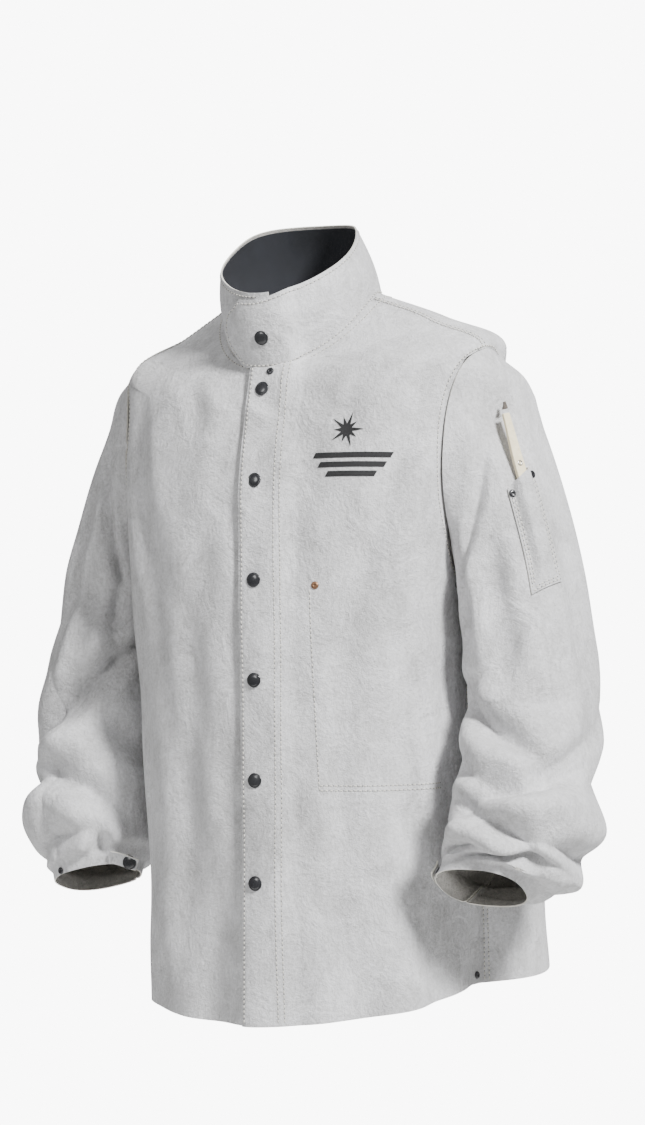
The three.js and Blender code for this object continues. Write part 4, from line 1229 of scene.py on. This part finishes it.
neck_phi = front_x(LAP - 0.010, row_on_snap_line(NECK_RIVET_Z))
rivet("neck_rivet", at_body(neck_phi, row_on_snap_line(NECK_RIVET_Z), FLAP_LIFT + LEATHER), black_enamel,
      "front_flap")
pocket_row = [float(row_at(phi, POCKET_TOP + 0.004)) for phi in (29, 86)]
rivet("pocket_rivet_front", at_body(29, pocket_row[0], LEATHER), bronze, "shell", "bronze_rivet")
rivet("pocket_rivet_side", at_body(86, pocket_row[1], LEATHER), black_enamel, "shell")
for side in (1, -1):
    seam_phi = side * (SIDE_SEAM - 1.7)
    seat = at_body(seam_phi, row_at(seam_phi, -0.722), LEATHER)
    rivet(f"side_seam_rivet_{SIDE_NAME[side]}", seat, black_enamel, "shell")
    front_seam = SLEEVE_SEAMS[side][1]
    rivet(f"{SIDE_NAME[side]}_cuff_rivet", at_sleeve(side, front_seam - 7, 9.75, 0.0002), black_enamel,
          f"{SIDE_NAME[side]}_lower_sleeve")
print("fasteners set")

# %% [markdown]
# The cuff tab is a short strap of the same hide, hinged at its sewn end and held by one snap. The
# left one lies closed; the right one hangs open, so it is turned about its hinge line.

# %% cuff tabs
TAB_SPAN = 42
TAB_HINGE = {1: 150, -1: 130}
TAB_LIFT = 0.0036
TAB_OPEN = 66


def hinge_turn(side):
    """The turn of an open tab about its hinge line; the closed one stays as it is."""
    if side > 0:
        return Matrix.Identity(4)
    low, high = (SLEEVE[side](TAB_HINGE[side], k, TAB_LIFT + LEATHER + 0.0006) for k in (9.0, 9.9))
    axis = Vector(high) - Vector(low)
    to_pivot = Matrix.Translation(Vector(low))
    return to_pivot @ Matrix.Rotation(math.radians(TAB_OPEN), 4, axis) @ to_pivot.inverted()


def tab_place(side):
    def place(u, v):
        psi = TAB_HINGE[side] + TAB_SPAN * u
        round_end = 0.10 * smooth((u - 0.72) / 0.28) ** 2
        k = 9.45 + 0.45 * (2 * v - 1) * (1 - round_end)
        curl = 0.0016 * smooth(u) * (2 * v - 1) ** 2
        return SLEEVE[side](psi, k, TAB_LIFT + LEATHER + curl)
    return place


for side in (1, -1):
    name = SIDE_NAME[side]
    turn = hinge_turn(side)
    tab = cut_panel(f"{name}_cuff_tab_leather", 30, 18, tab_place(side))
    middle = Vector(SLEEVE[side](np.array([0.0, 180.0]), np.array([9.4, 9.4])).mean(0))
    turn_outward(tab, middle)
    tab.data.transform(turn)
    give_thickness(tab, suede, cut_edge, inside=suede_inside)
    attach(tab, f"{name}_cuff_tab")
    stands_for(tab, "suede", f"{name}_cuff_tab")
    spot, normal = at_sleeve(side, TAB_HINGE[side] + TAB_SPAN * 0.78, 9.45, TAB_LIFT + LEATHER + 0.0002)
    spot = turn @ Vector(spot)
    normal = turn.to_3x3() @ Vector(normal)
    set_on(turned(f"{name}_cuff_cap_enamel", CAP), spot, normal, black_enamel, f"{name}_cuff_tab",
           f"{name}_cuff_snap_cap", "black_enamel")
    stud_seat = at_sleeve(side, TAB_HINGE[side] + TAB_SPAN * 0.78, 9.45, 0.0001)
    set_on(turned(f"{name}_cuff_stud_post", STUD, 28), *stud_seat, nickel, f"{name}_lower_sleeve",
           f"{name}_cuff_stud", "nickel_snap_part")

# %% [markdown]
# Two pockets. The sleeve pocket is a narrow patch on the left upper arm, sewn down both sides and
# across the bottom with a double row, and it stands off the sleeve where the marker goes in. The
# inside pocket is a patch behind the left front, of which only the stitching shows outside.

# %% pockets
POCKET_PSI = MARKER_PSI
POCKET_ROWS = (2.1, 3.6)
POCKET_HALF = (0.038 / 2) / (SLEEVE_WIDTH / 2) / RAD
POCKET_ROOM = 0.0082
INSIDE_ROOM = 0.016


def pocket_stand(u, v):
    """How far the patch stands off the sleeve; u runs across it and v up it."""
    middle = smooth((u - 0.12) / 0.24) * smooth((0.88 - u) / 0.24)
    return 0.0006 + LEATHER + POCKET_ROOM * middle * smooth(v * 3)


def pocket_place(u, v):
    psi = POCKET_PSI + POCKET_HALF * (1 - 2 * u)
    k = lerp(POCKET_ROWS[1], POCKET_ROWS[0], v)
    return left_sleeve(psi, k, pocket_stand(u, v))


sleeve_axis = Vector(left_sleeve(np.array([0.0, 180.0]), np.array([2.8, 2.8])).mean(0))
sleeve_pocket = cut_panel("sleeve_pocket_leather", 46, 60, pocket_place, sleeve_axis)
give_thickness(sleeve_pocket, suede, cut_edge, inside=suede_inside)
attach(sleeve_pocket, "left_upper_sleeve")
stands_for(sleeve_pocket, "suede", "sleeve_pocket")
for side, which in ((1, "front"), (-1, "back")):
    seat = at_sleeve(1, POCKET_PSI + side * POCKET_HALF * 0.80, POCKET_ROWS[0] + 0.12, 0.0006 + LEATHER)
    rivet(f"sleeve_pocket_rivet_{which}", seat, black_enamel, "left_upper_sleeve")


def pocket_stitch(u, v):
    u, v = np.broadcast_arrays(np.asarray(u, float), np.asarray(v, float))
    psi = POCKET_PSI + POCKET_HALF * (1 - 2 * u)
    k = lerp(POCKET_ROWS[1], POCKET_ROWS[0], v)
    return left_sleeve(psi, k, pocket_stand(u, v) + 0.0002), sleeve_normal(1, psi, k)


pocket_lines = []
for inset in (0.06, 0.135):
    up = np.linspace(0.02 + inset * 0.4, 0.93, 50)
    across = np.linspace(inset, 1 - inset, 24)
    pocket_lines += [pocket_stitch(inset, up), pocket_stitch(1 - inset, up),
                     pocket_stitch(across, inset * 0.34)]
thread_piece("sleeve_pocket_stitching", pocket_lines, lambda piece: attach(piece, "left_upper_sleeve"))


def inside_place(u, v):
    phi = lerp(27.2, 87.8, u)
    h = row_at(phi, lerp(POCKET_BOTTOM, POCKET_TOP, v))
    room = INSIDE_ROOM * np.sin(math.pi * u) * smooth(v * 1.6)
    return dressed_body(phi, h, -0.0018 - room)


inside_pocket = cut_panel("inside_pocket_leather", 40, 30, inside_place, BODY_INSIDE)
give_thickness(inside_pocket, suede_inside, cut_edge, inside=suede_inside)
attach(inside_pocket, "shell")
stands_for(inside_pocket, "suede_inner_face", "inside_pocket")

# %% [markdown]
# The marker is a flat stick of soapstone, sawn from a block, with a chisel end that soot has
# darkened, and a small metal eyelet where the fingers hold it.

# %% marker
MARKER_SIZE = (0.012, 0.135, 0.0044)
MARKER_SHOWING = 0.076
MARKER_LIFT = 0.0046


def marker_frame():
    low, high = (Vector(plain_sleeve(1)(POCKET_PSI, POCKET_ROWS[0] + d)) for d in (0.5, -0.5))
    up = (high - low).normalized()
    normal = Vector(normal_of(plain_sleeve(1), POCKET_PSI, POCKET_ROWS[0], 0, CUFF_ROW))
    out = (normal - up * normal.dot(up)).normalized()
    point = Vector(plain_sleeve(1)(POCKET_PSI, POCKET_ROWS[0]))
    turn = Matrix((up.cross(out), up, out)).transposed().to_4x4()
    return Matrix.Translation(point) @ turn


def stick(name, low, high, width, thick, materials, cuts, tip=MARKER_SHOWING - 0.012):
    """A flat stick between two distances up the marker."""
    bm = bmesh.new()
    bmesh.ops.create_cube(bm, size=1.0)
    bmesh.ops.scale(bm, vec=(width, high - low, thick), verts=bm.verts)
    bmesh.ops.translate(bm, vec=(0, (low + high) / 2, MARKER_LIFT), verts=bm.verts)
    along = [e for e in bm.edges if abs((e.verts[0].co - e.verts[1].co).y) > 1e-4]
    bmesh.ops.subdivide_edges(bm, edges=along, cuts=cuts, use_grid_fill=True)
    for v in bm.verts:
        narrow = (1 - 0.36 * smooth(v.co.y / MARKER_SHOWING)
                  - 0.40 * smooth((v.co.y - tip) / (MARKER_SHOWING - tip)))
        v.co.x = v.co.x * narrow + width * 0.5 * (1 - narrow)
        v.co.z = MARKER_LIFT + (v.co.z - MARKER_LIFT) * (0.35 + 0.65 * narrow)
    sharp = [e for e in bm.edges if e.calc_face_angle(0) > 0.7]
    bmesh.ops.bevel(bm, geom=sharp, offset=0.0006, segments=3, profile=0.5, affect="EDGES", material=-1)
    bmesh.ops.transform(bm, matrix=marker_frame(), verts=bm.verts)
    piece = object_from(bm, name, materials)
    shade_smooth(piece)
    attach(piece, "marker")
    return piece


sooty_tip = speckled_material("sooty soapstone", (0.17, 0.14, 0.11), (0.035, 0.030, 0.028), 300,
                              (0.7, 0.95), 0.0002)
bottom = MARKER_SHOWING - MARKER_SIZE[1]
marker = stick("marker_stick", bottom, MARKER_SHOWING - 0.012, MARKER_SIZE[0], MARKER_SIZE[2], [soapstone],
               cuts=14)
stands_for(marker, "soapstone", "soapstone_marker")
stick("marker_sooty_end", MARKER_SHOWING - 0.0075, MARKER_SHOWING, MARKER_SIZE[0] + 0.0002,
      MARKER_SIZE[2] + 0.0002, [sooty_tip], cuts=8)
EYELET = [(r * MM, z * MM) for r, z in (
    (1.5, 0), (2.9, 0), (3.1, 0.3), (2.7, 0.6), (1.9, 0.6), (1.5, 0.3), (1.5, 0))]
name, eyelet = turned("marker_eyelet", EYELET, 24)
at_face = Matrix.Translation((0.0004, 0.0105, MARKER_LIFT + MARKER_SIZE[2] / 2 - 0.0002))
bmesh.ops.transform(eyelet, matrix=marker_frame() @ at_face, verts=eyelet.verts)
eyelet = object_from(eyelet, name, [nickel])
shade_smooth(eyelet)
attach(eyelet, "marker")

# %% [markdown]
# The maker's print is replaced by a plain device of a spark over three bars. It is ink lying in the
# nap, so it is a very thin skin laid on the leather, cut from the same surface.

# %% chest print
PRINT_MIDDLE = (0.108, -0.171)
PRINT_RISE = 0.0005


def lay_print(bm):
    """Moves flat shapes, drawn in X and Z, onto the front of the jacket."""
    xz = np.array([(v.co.x + PRINT_MIDDLE[0], v.co.y + PRINT_MIDDLE[1]) for v in bm.verts])
    phi = np.full(len(xz), 30.0)
    for _ in range(12):
        h = row_at(phi, xz[:, 1])
        here = body(phi, h)[:, 0]
        slope = (body(phi + 0.5, h)[:, 0] - here) / 0.5
        phi = phi + np.clip((xz[:, 0] - here) / np.maximum(slope, 1e-4), -6, 6)
    h = row_at(phi, xz[:, 1])
    for v, co in zip(bm.verts, dressed_body(phi, h, LEATHER + PRINT_RISE)):
        v.co = co


def spark(bm, x, y, long, short, points):
    made = bmesh.ops.create_circle(bm, cap_ends=True, cap_tris=True, segments=points * 2, radius=1.0)["verts"]
    for v in made:
        if v.co.length > 0.5:
            turn = round(math.atan2(v.co.y, v.co.x) / (math.pi / points))
            v.co *= (long if turn % 4 == 0 else long * 0.72) if turn % 2 == 0 else short
    bmesh.ops.translate(bm, vec=(x, y, 0), verts=made)


def bar(bm, x, y, width, height, lean):
    made = bmesh.ops.create_grid(bm, x_segments=30, y_segments=3, size=0.5)["verts"]
    for v in made:
        v.co = (x + v.co.x * width + v.co.y * lean, y + v.co.y * height, 0)


bm = bmesh.new()
spark(bm, -0.006, 0.0150, 0.0190, 0.0062, 10)
bmesh.ops.subdivide_edges(bm, edges=bm.edges[:], cuts=4, use_grid_fill=True)
bmesh.ops.triangulate(bm, faces=[f for f in bm.faces if len(f.verts) > 4])
for i, width in enumerate((0.080, 0.068, 0.050)):
    bar(bm, 0.0, -0.0110 - i * 0.0095, width, 0.0056, 0.003)
lay_print(bm)
bm.normal_update()
bmesh.ops.reverse_faces(bm, faces=[f for f in bm.faces if f.normal.y > 0])
chest_print = object_from(bm, "chest_print", [print_ink])
shade_smooth(chest_print)
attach(chest_print, "shell")
print("print faces:", len(chest_print.data.polygons))

# %% [markdown]
# A pale floor and a plain white room stand in for a studio cove. The key light is
# high, from the camera's right; the room itself fills the shadows.

# %% floor, room and lights
def build_floor():
    bm = bmesh.new()
    bmesh.ops.create_circle(bm, cap_ends=True, segments=96, radius=1.6)
    bmesh.ops.translate(bm, vec=(0, 0, -1.45), verts=bm.verts)
    floor = object_from(bm, "floor",
                        [speckled_material("pale floor", (0.90, 0.90, 0.89), (0.86, 0.86, 0.85), 30,
                                                        (0.6, 0.8), 0.0003)])


build_floor()


def build_room():
    """White behind the jacket, and a softer white as the light that fills its shadows."""
    room = bpy.data.worlds.new("white room")
    bpy.context.scene.world = room
    room.use_nodes = True
    tree = room.node_tree
    seen = tree.nodes["Background"]
    seen.inputs["Strength"].default_value = 9.0
    seen.inputs["Color"].default_value = (1, 1, 1, 1)
    glow = tree.nodes.new("ShaderNodeBackground")
    glow.inputs["Color"].default_value = (1, 1, 1, 1)
    glow.inputs["Strength"].default_value = 0.34
    mix = tree.nodes.new("ShaderNodeMixShader")
    tree.links.new(tree.nodes.new("ShaderNodeLightPath").outputs["Is Camera Ray"], mix.inputs[0])
    tree.links.new(glow.outputs[0], mix.inputs[1])
    tree.links.new(seen.outputs[0], mix.inputs[2])
    tree.links.new(mix.outputs[0], tree.nodes["World Output"].inputs["Surface"])


build_room()


def area_light(name, place, aim, size, power):
    data = bpy.data.lights.new(name, "AREA")
    data.shape = "DISK"
    data.size = size
    data.energy = power
    lamp = bpy.data.objects.new(name, data)
    lamp.location = place
    lamp.rotation_euler = (Vector(aim) - Vector(place)).to_track_quat("-Z", "Y").to_euler()
    bpy.context.scene.collection.objects.link(lamp)


area_light("key", (2.5, -1.35, 1.75), (0, 0, -0.35), 0.7, 300)
area_light("fill", (-0.6, -2.9, 0.9), (0, 0, -0.4), 1.2, 30)
area_light("back light", (-1.6, 2.2, 1.2), (0, 0, -0.35), 1.2, 70)

# %% camera
CAMERA_TURN = 25
CAMERA_AWAY = 3.0
AIM = Vector((0.01405, 0.00655, -0.291))
camera_data = bpy.data.cameras.new("camera")
camera_data.sensor_width = 36
camera_data.lens = 89.7
camera = bpy.data.objects.new("camera", camera_data)
toward = Vector((math.sin(CAMERA_TURN * RAD), -math.cos(CAMERA_TURN * RAD), 0))
camera.location = AIM + toward * CAMERA_AWAY
camera.rotation_euler = (-toward).to_track_quat("-Z", "Y").to_euler()
bpy.context.scene.collection.objects.link(camera)
bpy.context.scene.camera = camera
